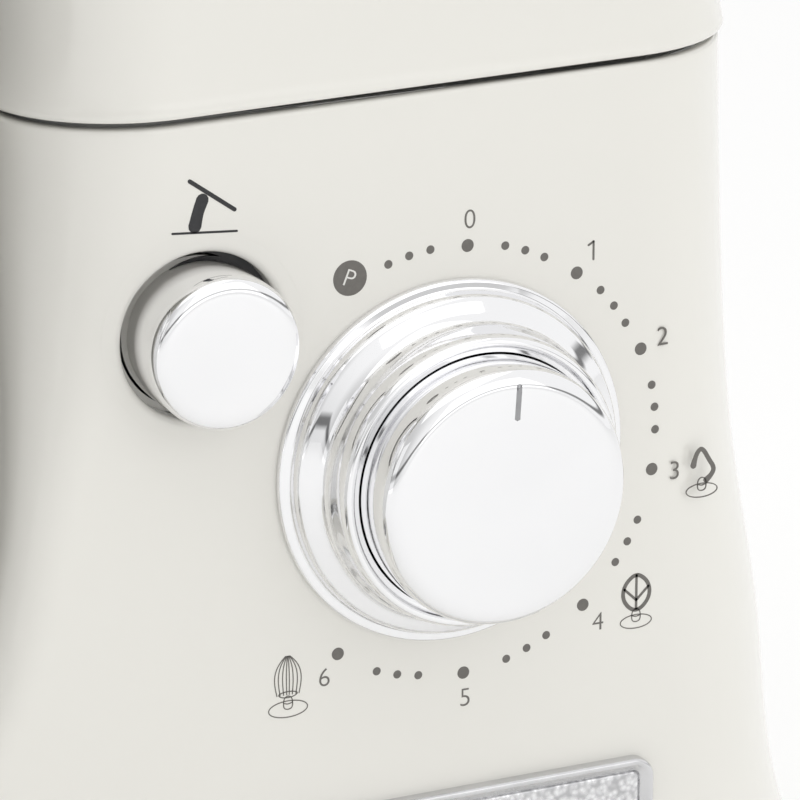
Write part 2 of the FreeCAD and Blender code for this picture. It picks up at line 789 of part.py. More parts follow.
def make_hinge_pin():
    return rod(hinge_pin_radius, at(-stand_knuckle_end, hinge_y, hinge_z),
               at(stand_knuckle_end, hinge_y, hinge_z))


# ---------------------------------------------------------------- head casings

def arm_outline(z, draw_in, inset):
    # plan outline of the arm at height z, drawn in by the edge rounding and by the wall
    total = draw_in + inset
    rear_corner = corner_radius * (1 - draw_in / 62.0) - inset
    return rounded_outline(z, arm_half_width - total, arm_nose_y + total, arm_rear_y - total,
                           nose_corner_radius - total, rear_corner)


def arm_lower_outlines(inset, top_z):
    radius = arm_edge_radius - inset
    low_z = arm_bottom_z + inset
    outlines = []
    for angle in (90, 68, 45, 22, 0):
        turn = math.radians(angle)
        outlines.append(arm_outline(low_z + radius * (1 - math.sin(turn)), radius * (1 - math.cos(turn)), inset))
    return outlines + [arm_outline(top_z, 0, inset)]


def dome_outlines(inset, low_z):
    rise = head_top_z - dome_start_z - inset
    outlines = [arm_outline(low_z, 0, inset)]
    for angle in (0, 15, 30, 45, 60, 72, 82, 90):
        turn = math.radians(angle)
        outlines.append(arm_outline(dome_start_z + rise * math.sin(turn), dome_inset * (1 - math.cos(turn)), inset))
    return outlines


def neck_outline(z, inset):
    over = max(z - throat_start_z, 0.0)
    lean = throat_radius - math.sqrt(max(throat_radius ** 2 - over ** 2, 0.0))
    return rounded_outline(z, column_half_width - inset, column_front(z) - lean + inset, column_rear(z) - inset,
                           corner_radius - inset, corner_radius - inset)


def neck_solid(inset, low_z, high_z):
    levels = [column_top_z + 16] + [throat_start_z + rise for rise in (0, 8, 15, 21, 26, 30)]
    heights = [low_z] + [z for z in levels if low_z + 3 < z < high_z - 1.5] + [high_z]
    return loft([neck_outline(z, inset) for z in heights])


cover_screw_places = [(side * (arm_half_width - 27), arm_nose_y + 40) for side in (-1, 1)]
cover_screw_places += [(side * (arm_half_width - 20.5), column_front_y - 28) for side in (-1, 1)]
frame_screw_places = [(sx * 27, bowl_axis_y + sy * 27) for sx in (-1, 1) for sy in (-1, 1)]


def nose_cap_bore():
    return rod(nose_cap_radius + 0.2, at(0, arm_nose_y - 10, nose_cap_z), at(0, arm_nose_y + 14, nose_cap_z))


def make_head_lower_casing():
    neck_top_z = split_z - 6
    outer = fuse_all([loft(arm_lower_outlines(0, split_z)), neck_solid(0, head_bottom_z, neck_top_z),
                      upright(housing_radius, bowl_axis_y, housing_bottom_z, arm_bottom_z + 8)])
    inner = fuse_all([loft(arm_lower_outlines(wall, split_z + 1)),
                      neck_solid(wall, head_bottom_z + wall, neck_top_z + 2)])
    drum = upright(housing_radius - wall, bowl_axis_y, housing_bottom_z - 1, housing_roof_z)
    posts = [upright(cover_post_radius, y, arm_bottom_z, split_z, x) for x, y in cover_screw_places]
    shell = outer.cut(inner).fuse([post.common(outer) for post in posts])
    floor = upright(housing_radius, bowl_axis_y, housing_roof_z, arm_bottom_z + wall)
    holes = [drum, upright(22, bowl_axis_y, housing_roof_z - 1, arm_bottom_z + wall + 1),
             hinge_notch(head_bottom_z - 2, head_bottom_z + wall + leaf_thickness + cover_gap),
             block(at(-vent_half_width, column_rear_y - 8, vent_low_z),
                   at(vent_half_width, column_rear_y + 20, vent_high_z)),
             nose_cap_bore()]
    for x, y in cover_screw_places:
        holes.append(upright(screw_head_radius + 0.3, y, arm_bottom_z - 1, arm_bottom_z + screw_head_room, x))
        holes.append(upright(screw_radius, y, arm_bottom_z, split_z + 1, x))
    for x, y in frame_screw_places:
        holes.append(upright(screw_radius, y, housing_roof_z, arm_bottom_z + wall + 1, x))
    shell = shell.fuse(floor)
    for hole in holes:
        shell = shell.cut(hole)
    return shell


def make_head_top_cover():
    outer = loft(dome_outlines(0, split_z))
    inner = loft(dome_outlines(wall, split_z - 1))
    shell = outer.cut(inner)
    posts = [upright(cover_post_radius, y, split_z, head_top_z, x).common(outer) for x, y in cover_screw_places]
    shell = shell.fuse(posts)
    for x, y in cover_screw_places:
        shell = shell.cut(upright(screw_radius, y, split_z - 1, split_z + screw_depth, x))
    return shell.cut(nose_cap_bore())


def make_side_trim():
    low_z = split_z - trim_half_height
    height = at(0, 0, 2 * trim_half_height)
    outer = Part.Face(arm_outline(low_z, 0, -trim_thickness)).extrude(height)
    inner = Part.Face(arm_outline(low_z, 0, -trim_gap)).extrude(height)
    return outer.cut(inner).cut(nose_cap_bore())


def make_nose_cap():
    depth = 20.0
    profile = [(0, 0), (nose_cap_radius, 0), (nose_cap_radius, depth - 2), (nose_cap_radius - 0.8, depth - 0.6),
               (nose_cap_radius - 2.2, depth), (nose_cap_radius - 6, depth), (nose_cap_radius - 7, depth - 1),
               (nose_cap_radius - 9, depth - 0.6), (nose_cap_radius - 14, depth + 0.4), (0, depth + 1)]
    return revolved(profile, at(0, arm_nose_y + depth - 6, nose_cap_z), at(0, -1, 0))


def make_vent_grille():
    wall_y = column_rear((vent_low_z + vent_high_z) / 2)
    margin = 0.2
    frame = block(at(-vent_half_width + margin, wall_y - wall, vent_low_z + margin),
                  at(vent_half_width - margin, wall_y - 0.4, vent_high_z - margin))
    flange = block(at(-vent_half_width - 3, wall_y - wall - 2.4, vent_low_z - 3),
                   at(vent_half_width + 3, wall_y - wall - 0.4, vent_high_z + 3))
    grille = fuse_all([frame, block(at(-vent_half_width + margin, wall_y - wall - 1, vent_low_z + margin),
                                    at(vent_half_width - margin, wall_y - wall, vent_high_z - margin)), flange])
    slot_count = 6
    pitch = (vent_high_z - vent_low_z) / slot_count
    for number in range(slot_count):
        middle = vent_low_z + pitch * (number + 0.5)
        grille = grille.cut(block(at(-vent_half_width + 3, wall_y - 20, middle - pitch * 0.27),
                                  at(vent_half_width - 3, wall_y + 5, middle + pitch * 0.27)))
    return grille


def make_planetary_trim():
    ring = upright_tube(housing_radius + 1.5, carrier_radius + 1.5, bowl_axis_y, housing_bottom_z - 3.5,
                        housing_bottom_z)
    skirt = upright_tube(housing_radius + 1.5, housing_radius, bowl_axis_y, housing_bottom_z, housing_bottom_z + 8)
    return fuse_all([ring, skirt])


def make_cover_screws():
    screws = []
    for x, y in cover_screw_places:
        head_z = arm_bottom_z + screw_head_room
        head = upright(screw_head_radius, y, head_z - 2.6, head_z, x)
        shank = upright(screw_radius, y, head_z, split_z + screw_depth, x)
        screws.append(head.fuse(shank).removeSplitter())
    return Part.makeCompound(screws)


# ---------------------------------------------------------------- drive train


def make_gearbox_frame():
    plate = upright(42, bowl_axis_y, frame_floor_z, frame_floor_z + frame_thickness)
    strip = block(at(-16, bowl_axis_y, frame_floor_z), at(16, layshaft_y + 16, frame_floor_z + frame_thickness))
    carrier_boss = upright(carrier_bearing_radius + 4, bowl_axis_y, frame_floor_z, boss_top_z)
    lay_boss = upright(lay_bearing_radius + 3, layshaft_y, frame_floor_z, boss_top_z)
    frame = fuse_all([plate, strip, carrier_boss, lay_boss])
    frame = frame.cut(upright(carrier_bearing_radius, bowl_axis_y, frame_floor_z - 1, boss_top_z + 1))
    frame = frame.cut(upright(lay_bearing_radius, layshaft_y, frame_floor_z + 3, boss_top_z + 1))
    for x, y in frame_screw_places:
        frame = frame.cut(upright(screw_radius, y, frame_floor_z - 1, frame_floor_z + frame_thickness + 1, x))
    return frame


def make_frame_screws():
    screws = []
    top_z = frame_floor_z + frame_thickness
    for x, y in frame_screw_places:
        head = upright(screw_head_radius, y, top_z, top_z + 2.6, x)
        shank = upright(screw_radius, y, housing_roof_z + 0.5, top_z, x)
        screws.append(head.fuse(shank).removeSplitter())
    return Part.makeCompound(screws)


def make_bearings(outer, shaft_radius, y, lowest_z):
    places = [lowest_z, boss_top_z - bearing_height]
    return Part.makeCompound([upright_tube(outer, shaft_radius + run_gap, y, z, z + bearing_height)
                              for z in places])


def toothed_disc(tip_radius, count, height, low_z, y):
    # gear blank with trapezium teeth all round
    root_radius = tip_radius - height
    pitch = 2 * math.pi / count
    outline = []
    for tooth in range(count):
        for share, radius in ((-0.27, root_radius), (-0.14, tip_radius), (0.14, tip_radius), (0.27, root_radius)):
            turn = pitch * (tooth + share)
            outline.append(at(radius * math.cos(turn), y + radius * math.sin(turn), low_z))
    return Part.Face(Part.makePolygon(outline + [outline[0]]))


def make_ring_gear():
    outer = upright(housing_radius - wall - 0.1, bowl_axis_y, ring_gear_z, housing_roof_z)
    tip = ring_pitch_radius + tooth_height + mesh_gap
    space = toothed_disc(tip + 2 * tooth_height, ring_teeth, 2 * tooth_height, ring_gear_z, bowl_axis_y)
    return outer.cut(space.extrude(at(0, 0, housing_roof_z - ring_gear_z)))


def make_planet_gear():
    tip = planet_pitch_radius + tooth_height
    face = toothed_disc(tip, planet_teeth, 2 * tooth_height, ring_gear_z + 1, planet_y)
    gear = face.extrude(at(0, 0, housing_roof_z - ring_gear_z - 4))
    return gear.cut(upright(tool_shaft_radius, planet_y, ring_gear_z, housing_roof_z))


def make_planet_carrier():
    profile = [(0, 1.5), (carrier_radius - 12, 1.5), (carrier_radius - 8, 0), (carrier_radius - 2, 0),
               (carrier_radius, 2), (carrier_radius, carrier_top_z - carrier_bottom_z),
               (carrier_shaft_radius, carrier_top_z - carrier_bottom_z),
               (carrier_shaft_radius, carrier_shaft_top_z - carrier_bottom_z),
               (0, carrier_shaft_top_z - carrier_bottom_z)]
    carrier = revolved(profile, at(0, bowl_axis_y, carrier_bottom_z), at(0, 0, 1))
    collar = upright(tool_shaft_radius + 6, planet_y, carrier_bottom_z - 2, carrier_top_z)
    bore = upright(tool_shaft_radius + run_gap, planet_y, carrier_bottom_z - 5, carrier_top_z + 5)
    return fuse_all([carrier, collar]).cut(bore)


def make_carrier_gear():
    face = toothed_disc(gear_radius - mesh_gap / 2, 47, 2 * tooth_height, gear_z, bowl_axis_y)
    gear = face.extrude(at(0, 0, gear_width))
    return gear.cut(upright(carrier_shaft_radius, bowl_axis_y, gear_z - 1, gear_z + gear_width + 1))


def make_layshaft():
    face = toothed_disc(pinion_radius - mesh_gap / 2, 13, 2 * tooth_height, gear_z - 1, layshaft_y)
    pinion = face.extrude(at(0, 0, gear_width + 2))
    shaft = upright(layshaft_radius, layshaft_y, frame_floor_z + 3 + 0.3, belt_z + belt_width + 3)
    return fuse_all([pinion, shaft])


def pulley(radius, bore_radius, y):
    flange = flange_thickness
    low_z = belt_z - belt_gap - flange
    high_z = belt_z + belt_width + belt_gap + flange
    parts = [upright(radius, y, low_z, high_z), upright(radius + flange_height, y, low_z, low_z + flange),
             upright(radius + flange_height, y, high_z - flange, high_z)]
    return fuse_all(parts).cut(upright(bore_radius, y, low_z - 1, high_z + 1))


def belt_loop(extra):
    # outline of two circles joined by their outer tangents
    front, rear = big_pulley_radius + extra, motor_pulley_radius + extra
    lean = math.asin((front - rear) / (motor_y - layshaft_y))

    def side(radius, y, sign):
        return at(sign * radius * math.cos(lean), y + radius * math.sin(lean), belt_z)

    edges = [
        Part.Arc(side(front, layshaft_y, 1), at(0, layshaft_y - front, belt_z),
                 side(front, layshaft_y, -1)).toShape(),
        Part.LineSegment(side(front, layshaft_y, -1), side(rear, motor_y, -1)).toShape(),
        Part.Arc(side(rear, motor_y, -1), at(0, motor_y + rear, belt_z), side(rear, motor_y, 1)).toShape(),
        Part.LineSegment(side(rear, motor_y, 1), side(front, layshaft_y, 1)).toShape(),
    ]
    return Part.Face(Part.Wire(edges)).extrude(at(0, 0, belt_width))


def make_drive_belt():
    return belt_loop(belt_gap + belt_thickness).cut(belt_loop(belt_gap))


def make_motor_lower_bell():
    low_z = motor_bottom_z - bell_thickness
    parts = [upright(bell_radius, motor_y, low_z, motor_bottom_z)]
    for sx in (-1, 1):
        for sy in (-1, 1):
            y = motor_y + sy * motor_post_reach
            parts.append(upright(motor_post_radius, y, head_bottom_z + wall, low_z, sx * motor_post_reach))
    bell = fuse_all(parts)
    bell = bell.cut(upright(motor_shaft_radius + run_gap, motor_y, low_z - 1, motor_bottom_z + 1))
    for angle in range(0, 360, 45):
        x = 26 * math.cos(math.radians(angle + 22.5))
        y = motor_y + 26 * math.sin(math.radians(angle + 22.5))
        bell = bell.cut(upright(5, y, low_z - 1, motor_bottom_z + 1, x))
    return bell


def make_motor_upper_bell():
    plate = upright(motor_radius + 2, motor_y, motor_top_z, motor_top_z + bell_thickness)
    boss = upright(9, motor_y, motor_top_z, motor_top_z + bell_thickness + 6)
    bore = upright(motor_shaft_radius + run_gap, motor_y, motor_top_z - 1, motor_top_z + 20)
    return fuse_all([plate, boss]).cut(bore)


def make_motor_stator():
    return upright_tube(motor_radius, rotor_radius + rotor_gap, motor_y, motor_bottom_z, motor_top_z)


def make_motor_armature():
    shaft = upright(motor_shaft_radius, motor_y, fan_low_z - 1, belt_z + belt_width + 3)
    rotor = upright(rotor_radius, motor_y, motor_bottom_z + 12, motor_top_z - 8)
    commutator = upright(11, motor_y, motor_bottom_z + 2, motor_bottom_z + 12)
    return fuse_all([shaft, rotor, commutator])


def make_motor_fan():
    disc = upright(fan_radius, motor_y, fan_low_z, fan_low_z + 1.6)
    hub = upright(8, motor_y, fan_low_z, fan_low_z + fan_height)
    blades = []
    for number in range(9):
        blade = block(at(7, motor_y - 0.8, fan_low_z), at(fan_radius - 0.5, motor_y + 0.8, fan_low_z + fan_height))
        blade.rotate(at(0, motor_y, 0), at(0, 0, 1), number * 40)
        blades.append(blade)
    fan = fuse_all([disc, hub] + blades)
    return fan.cut(upright(motor_shaft_radius, motor_y, fan_low_z - 1, fan_low_z + fan_height + 1))


# ---------------------------------------------------------------- beater and bowl

def make_tool_shaft():
    return upright(tool_shaft_radius, planet_y, tool_shaft_bottom_z, tool_shaft_top_z)


def make_drip_disc():
    profile = [(tool_shaft_radius, 3.6), (tool_shaft_radius + 5, 3.6), (drip_disc_radius - 1, 1.4),
               (drip_disc_radius, 0.7), (drip_disc_radius - 1, 0), (tool_shaft_radius, 0)]
    return revolved(profile, at(0, planet_y, drip_disc_z), at(0, 0, 1))


def beater_outline():
    # leaf shape in the plane through the beater's axis
    y = planet_y - beater_thickness / 2
    half = beater_half_width
    top_z = beater_leaf_top_z
    right = [at(0, y, beater_bottom_z), at(half * 0.68, y, beater_bottom_z + 10),
             at(half * 0.97, y, beater_bottom_z + 44), at(half, y, beater_bottom_z + 66),
             at(half * 0.76, y, beater_bottom_z + 96), at(8, y, top_z)]
    left = [at(-point.x, y, point.z) for point in right]
    edges = [
        Part.Arc(right[0], right[1], right[2]).toShape(),
        Part.Arc(right[2], right[3], right[4]).toShape(),
        Part.LineSegment(right[4], right[5]).toShape(),
        Part.LineSegment(right[5], left[5]).toShape(),
        Part.LineSegment(left[5], left[4]).toShape(),
        Part.Arc(left[4], left[3], left[2]).toShape(),
        Part.Arc(left[2], left[1], left[0]).toShape(),
    ]
    return Part.Wire(edges)


def make_flat_beater():
    depth = at(0, beater_thickness, 0)
    outline = beater_outline()
    leaf = Part.Face(outline).extrude(depth)
    window = Part.Face(outline.makeOffset2D(-beater_rib)).extrude(depth)
    bars = [block(at(-beater_rib / 2, planet_y - beater_thickness / 2, beater_bottom_z),
                  at(beater_rib / 2, planet_y + beater_thickness / 2, beater_hub_top_z - 25))]
    for height in (22, 56):
        for side in (-1, 1):
            bar = block(at(0, planet_y - beater_thickness / 2, -beater_rib / 2),
                        at(90, planet_y + beater_thickness / 2, beater_rib / 2))
            bar.rotate(at(0, planet_y, 0), at(0, 1, 0), -42)
            if side < 0:
                bar = bar.mirror(at(0, 0, 0), at(1, 0, 0))
            bar.translate(at(0, 0, beater_bottom_z + height))
            bars.append(bar.common(leaf))
    hub = upright(beater_hub_radius, planet_y, beater_hub_top_z - beater_hub_length, beater_hub_top_z)
    beater = fuse_all([leaf.cut(window), hub] + [bar.common(leaf.fuse(hub)) for bar in bars])
    return beater.cut(upright(tool_shaft_radius, planet_y, tool_shaft_bottom_z, beater_hub_top_z + 1))


def bowl_profile(inset):
    # from the middle of the floor, round the lower bend, up the long curved side
    steep = math.radians(15)
    lip = math.radians(5)
    bend = bowl_base_bend - inset
    side = bowl_side_bend - inset
    floor_z = bowl_bottom_z + inset
    bend_end = (bowl_flat_radius + bend * math.cos(steep), floor_z + bend - bend * math.sin(steep))

    def on_bend(turn):
        return (bowl_flat_radius + bend * math.sin(turn), floor_z + bend - bend * math.cos(turn))

    def on_side(lean):
        return (bend_end[0] + side * (math.cos(lean) - math.cos(steep)),
                bend_end[1] + side * (math.sin(steep) - math.sin(lean)))

    middle_turn = (math.pi / 2 - steep) / 2
    return [(0, floor_z), (bowl_flat_radius, floor_z), on_bend(middle_turn), bend_end,
            on_side(math.radians(10)), on_side(lip)]


def make_bowl():
    def point(pair):
        return at(pair[0], bowl_axis_y, pair[1])

    outer = [point(pair) for pair in bowl_profile(0)]
    inner = [point(pair) for pair in bowl_profile(bowl_wall)]
    edges = [
        Part.LineSegment(outer[0], outer[1]).toShape(),
        Part.Arc(outer[1], outer[2], outer[3]).toShape(),
        Part.Arc(outer[3], outer[4], outer[5]).toShape(),
        Part.LineSegment(outer[5], inner[5]).toShape(),
        Part.Arc(inner[5], inner[4], inner[3]).toShape(),
        Part.Arc(inner[3], inner[2], inner[1]).toShape(),
        Part.LineSegment(inner[1], inner[0]).toShape(),
        Part.LineSegment(inner[0], outer[0]).toShape(),
    ]
    shell = Part.Face(Part.Wire(edges)).revolve(at(0, bowl_axis_y, 0), at(0, 0, 1), 360)
    rim_middle = (outer[5] + inner[5]) * 0.5
    bead = Part.makeTorus(rim_middle.x, 1.6, at(0, bowl_axis_y, rim_middle.z), at(0, 0, 1))
    return fuse_all([shell, bead])


def make_bowl_foot_ring():
    low_z = seat_z + 2 + seat_gap
    inner = foot_ring_radius - foot_ring_wall
    ring = upright_tube(foot_ring_radius, inner, bowl_axis_y, low_z, bowl_bottom_z + 8)
    high_z = low_z + lug_thickness
    lug = upright_tube(foot_ring_radius + lug_reach, foot_ring_radius - 1, bowl_axis_y, low_z, high_z)
    lugs = [lug.common(sector(angle, lug_span - 4, low_z, high_z)) for angle in lug_angles]
    floor = upright(foot_ring_radius - 1, bowl_axis_y, bowl_bottom_z - 1.5, bowl_bottom_z)
    return fuse_all([ring.cut(make_bowl_solid()), floor] + lugs)


def make_bowl_solid():
    # the bowl's outer form, filled, to trim what meets it
    def point(pair):
        return at(pair[0], bowl_axis_y, pair[1])

    outer = [point(pair) for pair in bowl_profile(0)]
    top = at(0, bowl_axis_y, outer[5].z)
    edges = [
        Part.LineSegment(outer[0], outer[1]).toShape(),
        Part.Arc(outer[1], outer[2], outer[3]).toShape(),
        Part.Arc(outer[3], outer[4], outer[5]).toShape(),
        Part.LineSegment(outer[5], top).toShape(),
        Part.LineSegment(top, outer[0]).toShape(),
    ]
    return Part.Face(Part.Wire(edges)).revolve(at(0, bowl_axis_y, 0), at(0, 0, 1), 360)


# ---------------------------------------------------------------- write the parts

def all_parts():
    parts = {
        "stand_shell": make_stand_shell,
        "base_plate": make_base_plate,
        "base_plate_screws": make_base_screws,
        "column_deck": make_column_deck,
        "bowl_seat": make_bowl_seat,
        "speed_bezel": make_speed_bezel,
        "speed_knob": make_speed_knob,
        "knob_pointer": make_knob_pointer,
        "pot_shaft": make_pot_shaft,
        "speed_pot": make_speed_pot,
        "control_pcb": make_control_pcb,
        "pcb_screws": make_pcb_screws,
        "tilt_button": make_tilt_button,
        "tilt_button_spring": make_button_spring,
        "button_guide": make_button_guide,
        "latch_lever": make_latch_lever,
        "latch_bracket": make_latch_bracket,
        "latch_pivot_pin": make_latch_pin,
        "latch_striker": make_latch_striker,
        "badge_plate": make_badge_plate,
        "cord_inlet": make_cord_inlet,
        "hinge_stand_leaf": make_stand_leaf,
        "hinge_head_leaf": make_head_leaf,
        "hinge_pin": make_hinge_pin,
        "hinge_stand_screws": make_stand_hinge_screws,
        "hinge_head_screws": make_head_hinge_screws,
        "head_lower_casing": make_head_lower_casing,
        "head_top_cover": make_head_top_cover,
        "side_trim_band": make_side_trim,
        "nose_cap": make_nose_cap,
        "rear_vent_grille": make_vent_grille,
        "planetary_trim_ring": make_planetary_trim,
        "head_cover_screws": make_cover_screws,
        "gearbox_frame": make_gearbox_frame,
        "gearbox_screws": make_frame_screws,
        "ring_gear": make_ring_gear,
        "planet_carrier": make_planet_carrier,
        "carrier_gear": make_carrier_gear,
        "pinion_layshaft": make_layshaft,
        "motor_lower_bell": make_motor_lower_bell,
        "motor_upper_bell": make_motor_upper_bell,
        "motor_stator": make_motor_stator,
        "motor_armature": make_motor_armature,
        "motor_fan": make_motor_fan,
        "drive_belt": make_drive_belt,
        "planet_gear": make_planet_gear,
        "tool_shaft": make_tool_shaft,
        "tool_drip_disc": make_drip_disc,
        "flat_beater": make_flat_beater,
        "bowl": make_bowl,
        "bowl_foot_ring": make_bowl_foot_ring,
    }
    shapes = {name: make() for name, make in parts.items()}
    shapes["carrier_bearings"] = make_bearings(carrier_bearing_radius, carrier_shaft_radius, bowl_axis_y,
                                               frame_floor_z)
    shapes["layshaft_bearings"] = make_bearings(lay_bearing_radius, layshaft_radius, layshaft_y, frame_floor_z + 3)
    shapes["large_pulley"] = pulley(big_pulley_radius, layshaft_radius, layshaft_y)
    shapes["motor_pulley"] = pulley(motor_pulley_radius, motor_shaft_radius, motor_y)
    for name, (x, y) in zip(foot_names, foot_places):
        shapes[name] = make_foot(x, y)
    return shapes


os.makedirs("parts", exist_ok=True)
for name, shape in all_parts().items():
    shape.exportStep("parts/" + name + ".step")
    print(name, "solids", len(shape.Solids), "volume", round(shape.Volume), "valid", shape.isValid())
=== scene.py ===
import json
import math

import bmesh
import bpy
import numpy as np
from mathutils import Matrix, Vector


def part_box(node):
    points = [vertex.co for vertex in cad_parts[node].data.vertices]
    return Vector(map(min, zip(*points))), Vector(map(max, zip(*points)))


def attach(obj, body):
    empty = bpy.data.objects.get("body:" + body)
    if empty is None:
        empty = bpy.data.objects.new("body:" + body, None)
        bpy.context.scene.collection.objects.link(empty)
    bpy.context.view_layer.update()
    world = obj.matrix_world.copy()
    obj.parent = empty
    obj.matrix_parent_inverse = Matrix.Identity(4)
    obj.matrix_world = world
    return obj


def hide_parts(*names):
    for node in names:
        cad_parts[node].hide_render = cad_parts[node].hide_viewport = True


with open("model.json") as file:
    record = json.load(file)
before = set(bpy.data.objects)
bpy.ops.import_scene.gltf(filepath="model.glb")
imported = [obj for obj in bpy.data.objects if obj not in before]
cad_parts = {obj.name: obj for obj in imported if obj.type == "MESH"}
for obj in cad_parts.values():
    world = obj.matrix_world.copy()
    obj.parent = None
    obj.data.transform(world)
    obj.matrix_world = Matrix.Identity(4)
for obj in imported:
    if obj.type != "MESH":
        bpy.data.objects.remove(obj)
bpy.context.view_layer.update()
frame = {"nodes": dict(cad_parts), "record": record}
nodes = frame["nodes"]
millimetre = 0.001


# meshes from arrays of points

def gridFaces(rows, columns, wrapRows, wrapColumns):
    # four corners of every cell of a grid of points, the last row or column joined to the first when wrapped
    row = np.arange(rows if wrapRows else rows - 1)
    column = np.arange(columns if wrapColumns else columns - 1)
    row, column = np.meshgrid(row, column, indexing="ij")
    nextRow = (row + 1) % rows
    nextColumn = (column + 1) % columns
    corners = [row * columns + column, row * columns + nextColumn,
               nextRow * columns + nextColumn, nextRow * columns + column]
    return np.stack(corners, -1).reshape(-1, 4)


def outwards(points, faces):
    # six times the enclosed volume, summed over the faces' triangles, is negative if they point inwards
    corner = points[faces] - points.mean(0)
    volume = np.sum(corner[:, 0] * np.cross(corner[:, 1], corner[:, 2]))
    volume += np.sum(corner[:, 0] * np.cross(corner[:, 2], corner[:, -1]))
    return faces[:, ::-1] if volume < 0 else faces


def joined(grids):
    # several closed grids as one list of points and faces
    points, faces, count = [], [], 0
    for grid, wrapRows, wrapColumns in grids:
        flat = grid.reshape(-1, 3)
        faces.append(outwards(flat, gridFaces(*grid.shape[:2], wrapRows, wrapColumns)) + count)
        points.append(flat)
        count += len(flat)
    return np.concatenate(points), np.concatenate(faces)


def meshPiece(name, points, faces, body, material, replaced=(), sharp=40):
    # points in millimetres; faces are turned outwards by the sign of the volume that they enclose
    points = np.asarray(points, float).reshape(-1, 3)
    faces = outwards(points, np.asarray(faces))
    mesh = bpy.data.meshes.new(name)
    mesh.from_pydata((points * millimetre).tolist(), [], faces.tolist())
    work = bmesh.new()
    work.from_mesh(mesh)
    bmesh.ops.remove_doubles(work, verts=work.verts, dist=2e-6)
    loose = [vert for vert in work.verts if not vert.link_faces]
    bmesh.ops.delete(work, geom=loose, context="VERTS")
    work.to_mesh(mesh)
    work.free()
    mesh.shade_smooth()
    mesh.set_sharp_from_angle(angle=math.radians(sharp))
    mesh.materials.append(material)
    piece = bpy.data.objects.new(name, mesh)
    bpy.context.scene.collection.objects.link(piece)
    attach(piece, body)
    if replaced:
        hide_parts(*replaced)
    return piece


def gridPiece(name, points, body, material, replaced=(), wrapRows=True, wrapColumns=True, sharp=40):
    rows, columns = points.shape[:2]
    faces = gridFaces(rows, columns, wrapRows, wrapColumns)
    return meshPiece(name, points, faces, body, material, replaced, sharp)


def softened(profile, radius, steps=5, closed=True):
    # every corner of a polyline becomes a curve: (1-t)^2 start + 2t(1-t) corner + t^2 end
    profile = np.asarray(profile, float)
    before, after = np.roll(profile, 1, 0), np.roll(profile, -1, 0)
    radius = np.broadcast_to(np.asarray(radius, float), (len(profile),))
    toBefore, toAfter = before - profile, after - profile
    lengthBefore = np.maximum(np.linalg.norm(toBefore, axis=1), 1e-9)
    lengthAfter = np.maximum(np.linalg.norm(toAfter, axis=1), 1e-9)
    cutBefore = np.minimum(radius, 0.49 * lengthBefore) / lengthBefore
    cutAfter = np.minimum(radius, 0.49 * lengthAfter) / lengthAfter
    start = profile + toBefore * cutBefore[:, None]
    end = profile + toAfter * cutAfter[:, None]
    t = np.linspace(0, 1, steps)[None, :, None]
    curve = (1 - t) ** 2 * start[:, None] + 2 * t * (1 - t) * profile[:, None] + t ** 2 * end[:, None]
    if not closed:
        curve[0], curve[-1] = profile[0], profile[-1]
    return curve.reshape(-1, 2)


def turned(profile, origin, axis, segments=128):
    # (radius, height) pairs carried round an axis
    profile = np.asarray(profile, float)
    axis = np.asarray(axis, float)
    side = np.array((0.0, 1.0, 0.0)) if abs(axis[0]) > 0.5 else np.array((1.0, 0.0, 0.0))
    other = np.cross(axis, side)
    turn = np.linspace(0, 2 * np.pi, segments, endpoint=False)[None, :, None]
    ring = side * np.cos(turn) + other * np.sin(turn)
    radius = profile[:, 0][:, None, None]
    height = profile[:, 1][:, None, None]
    return np.asarray(origin, float) + axis * height + ring * radius


def smoothStep(value):
    value = np.clip(value, 0, 1)
    return value * value * (3 - 2 * value)


def smoothMax(first, second, width):
    # the larger of two, blended by a parabola where they differ by less than the width
    near = np.clip(width - np.abs(first - second), 0, None) / width
    return np.maximum(first, second) + near * near * width / 4


def bisected(function, low, high, steps=34):
    # where an increasing function of arrays crosses zero between two bounds
    for step in range(steps):
        middle = (low + high) / 2
        above = function(middle) > 0
        high = np.where(above, middle, high)
        low = np.where(above, low, middle)
    return (low + high) / 2


def roundedReach(turn, half, low, high, lowRadius, highRadius):
    # distance from the origin to a rectangle with rounded corners, in the directions given
    across, along = np.abs(np.cos(turn)), np.sin(turn)
    toSide = half / np.maximum(across, 1e-6)
    toEnd = np.where(along < 0, low / np.minimum(along, -1e-6), high / np.maximum(along, 1e-6))
    reach = np.minimum(toSide, toEnd)
    radius = np.where(along < 0, lowRadius, highRadius)
    cornerX = half - radius
    cornerY = np.where(along < 0, low + radius, high - radius)
    past = across * cornerX + along * cornerY
    root = past ** 2 - cornerX ** 2 - cornerY ** 2 + radius ** 2
    toArc = past + np.sqrt(np.clip(root, 0, None))
    beyondY = np.where(along < 0, reach * along < cornerY, reach * along > cornerY)
    return np.where((reach * across > cornerX) & beyondY, toArc, reach)


# finishes

def nodeTree(name):
    material = bpy.data.materials.new(name)
    material.use_nodes = True
    tree = material.node_tree
    return material, tree, tree.nodes["Principled BSDF"]


def coordinates(tree, stretch=(1, 1, 1), centre=(0, 0, 0)):
    place = tree.nodes.new("ShaderNodeTexCoord")
    mapping = tree.nodes.new("ShaderNodeMapping")
    mapping.inputs["Location"].default_value = [-c * s for c, s in zip(centre, stretch)]
    mapping.inputs["Scale"].default_value = stretch
    tree.links.new(place.outputs["Object"], mapping.inputs["Vector"])
    return mapping.outputs["Vector"]


def noise(tree, vector, scale, detail=3.0, rough=0.55):
    texture = tree.nodes.new("ShaderNodeTexNoise")
    texture.inputs["Scale"].default_value = scale
    texture.inputs["Detail"].default_value = detail
    texture.inputs["Roughness"].default_value = rough
    tree.links.new(vector, texture.inputs["Vector"])
    return texture.outputs["Fac"]


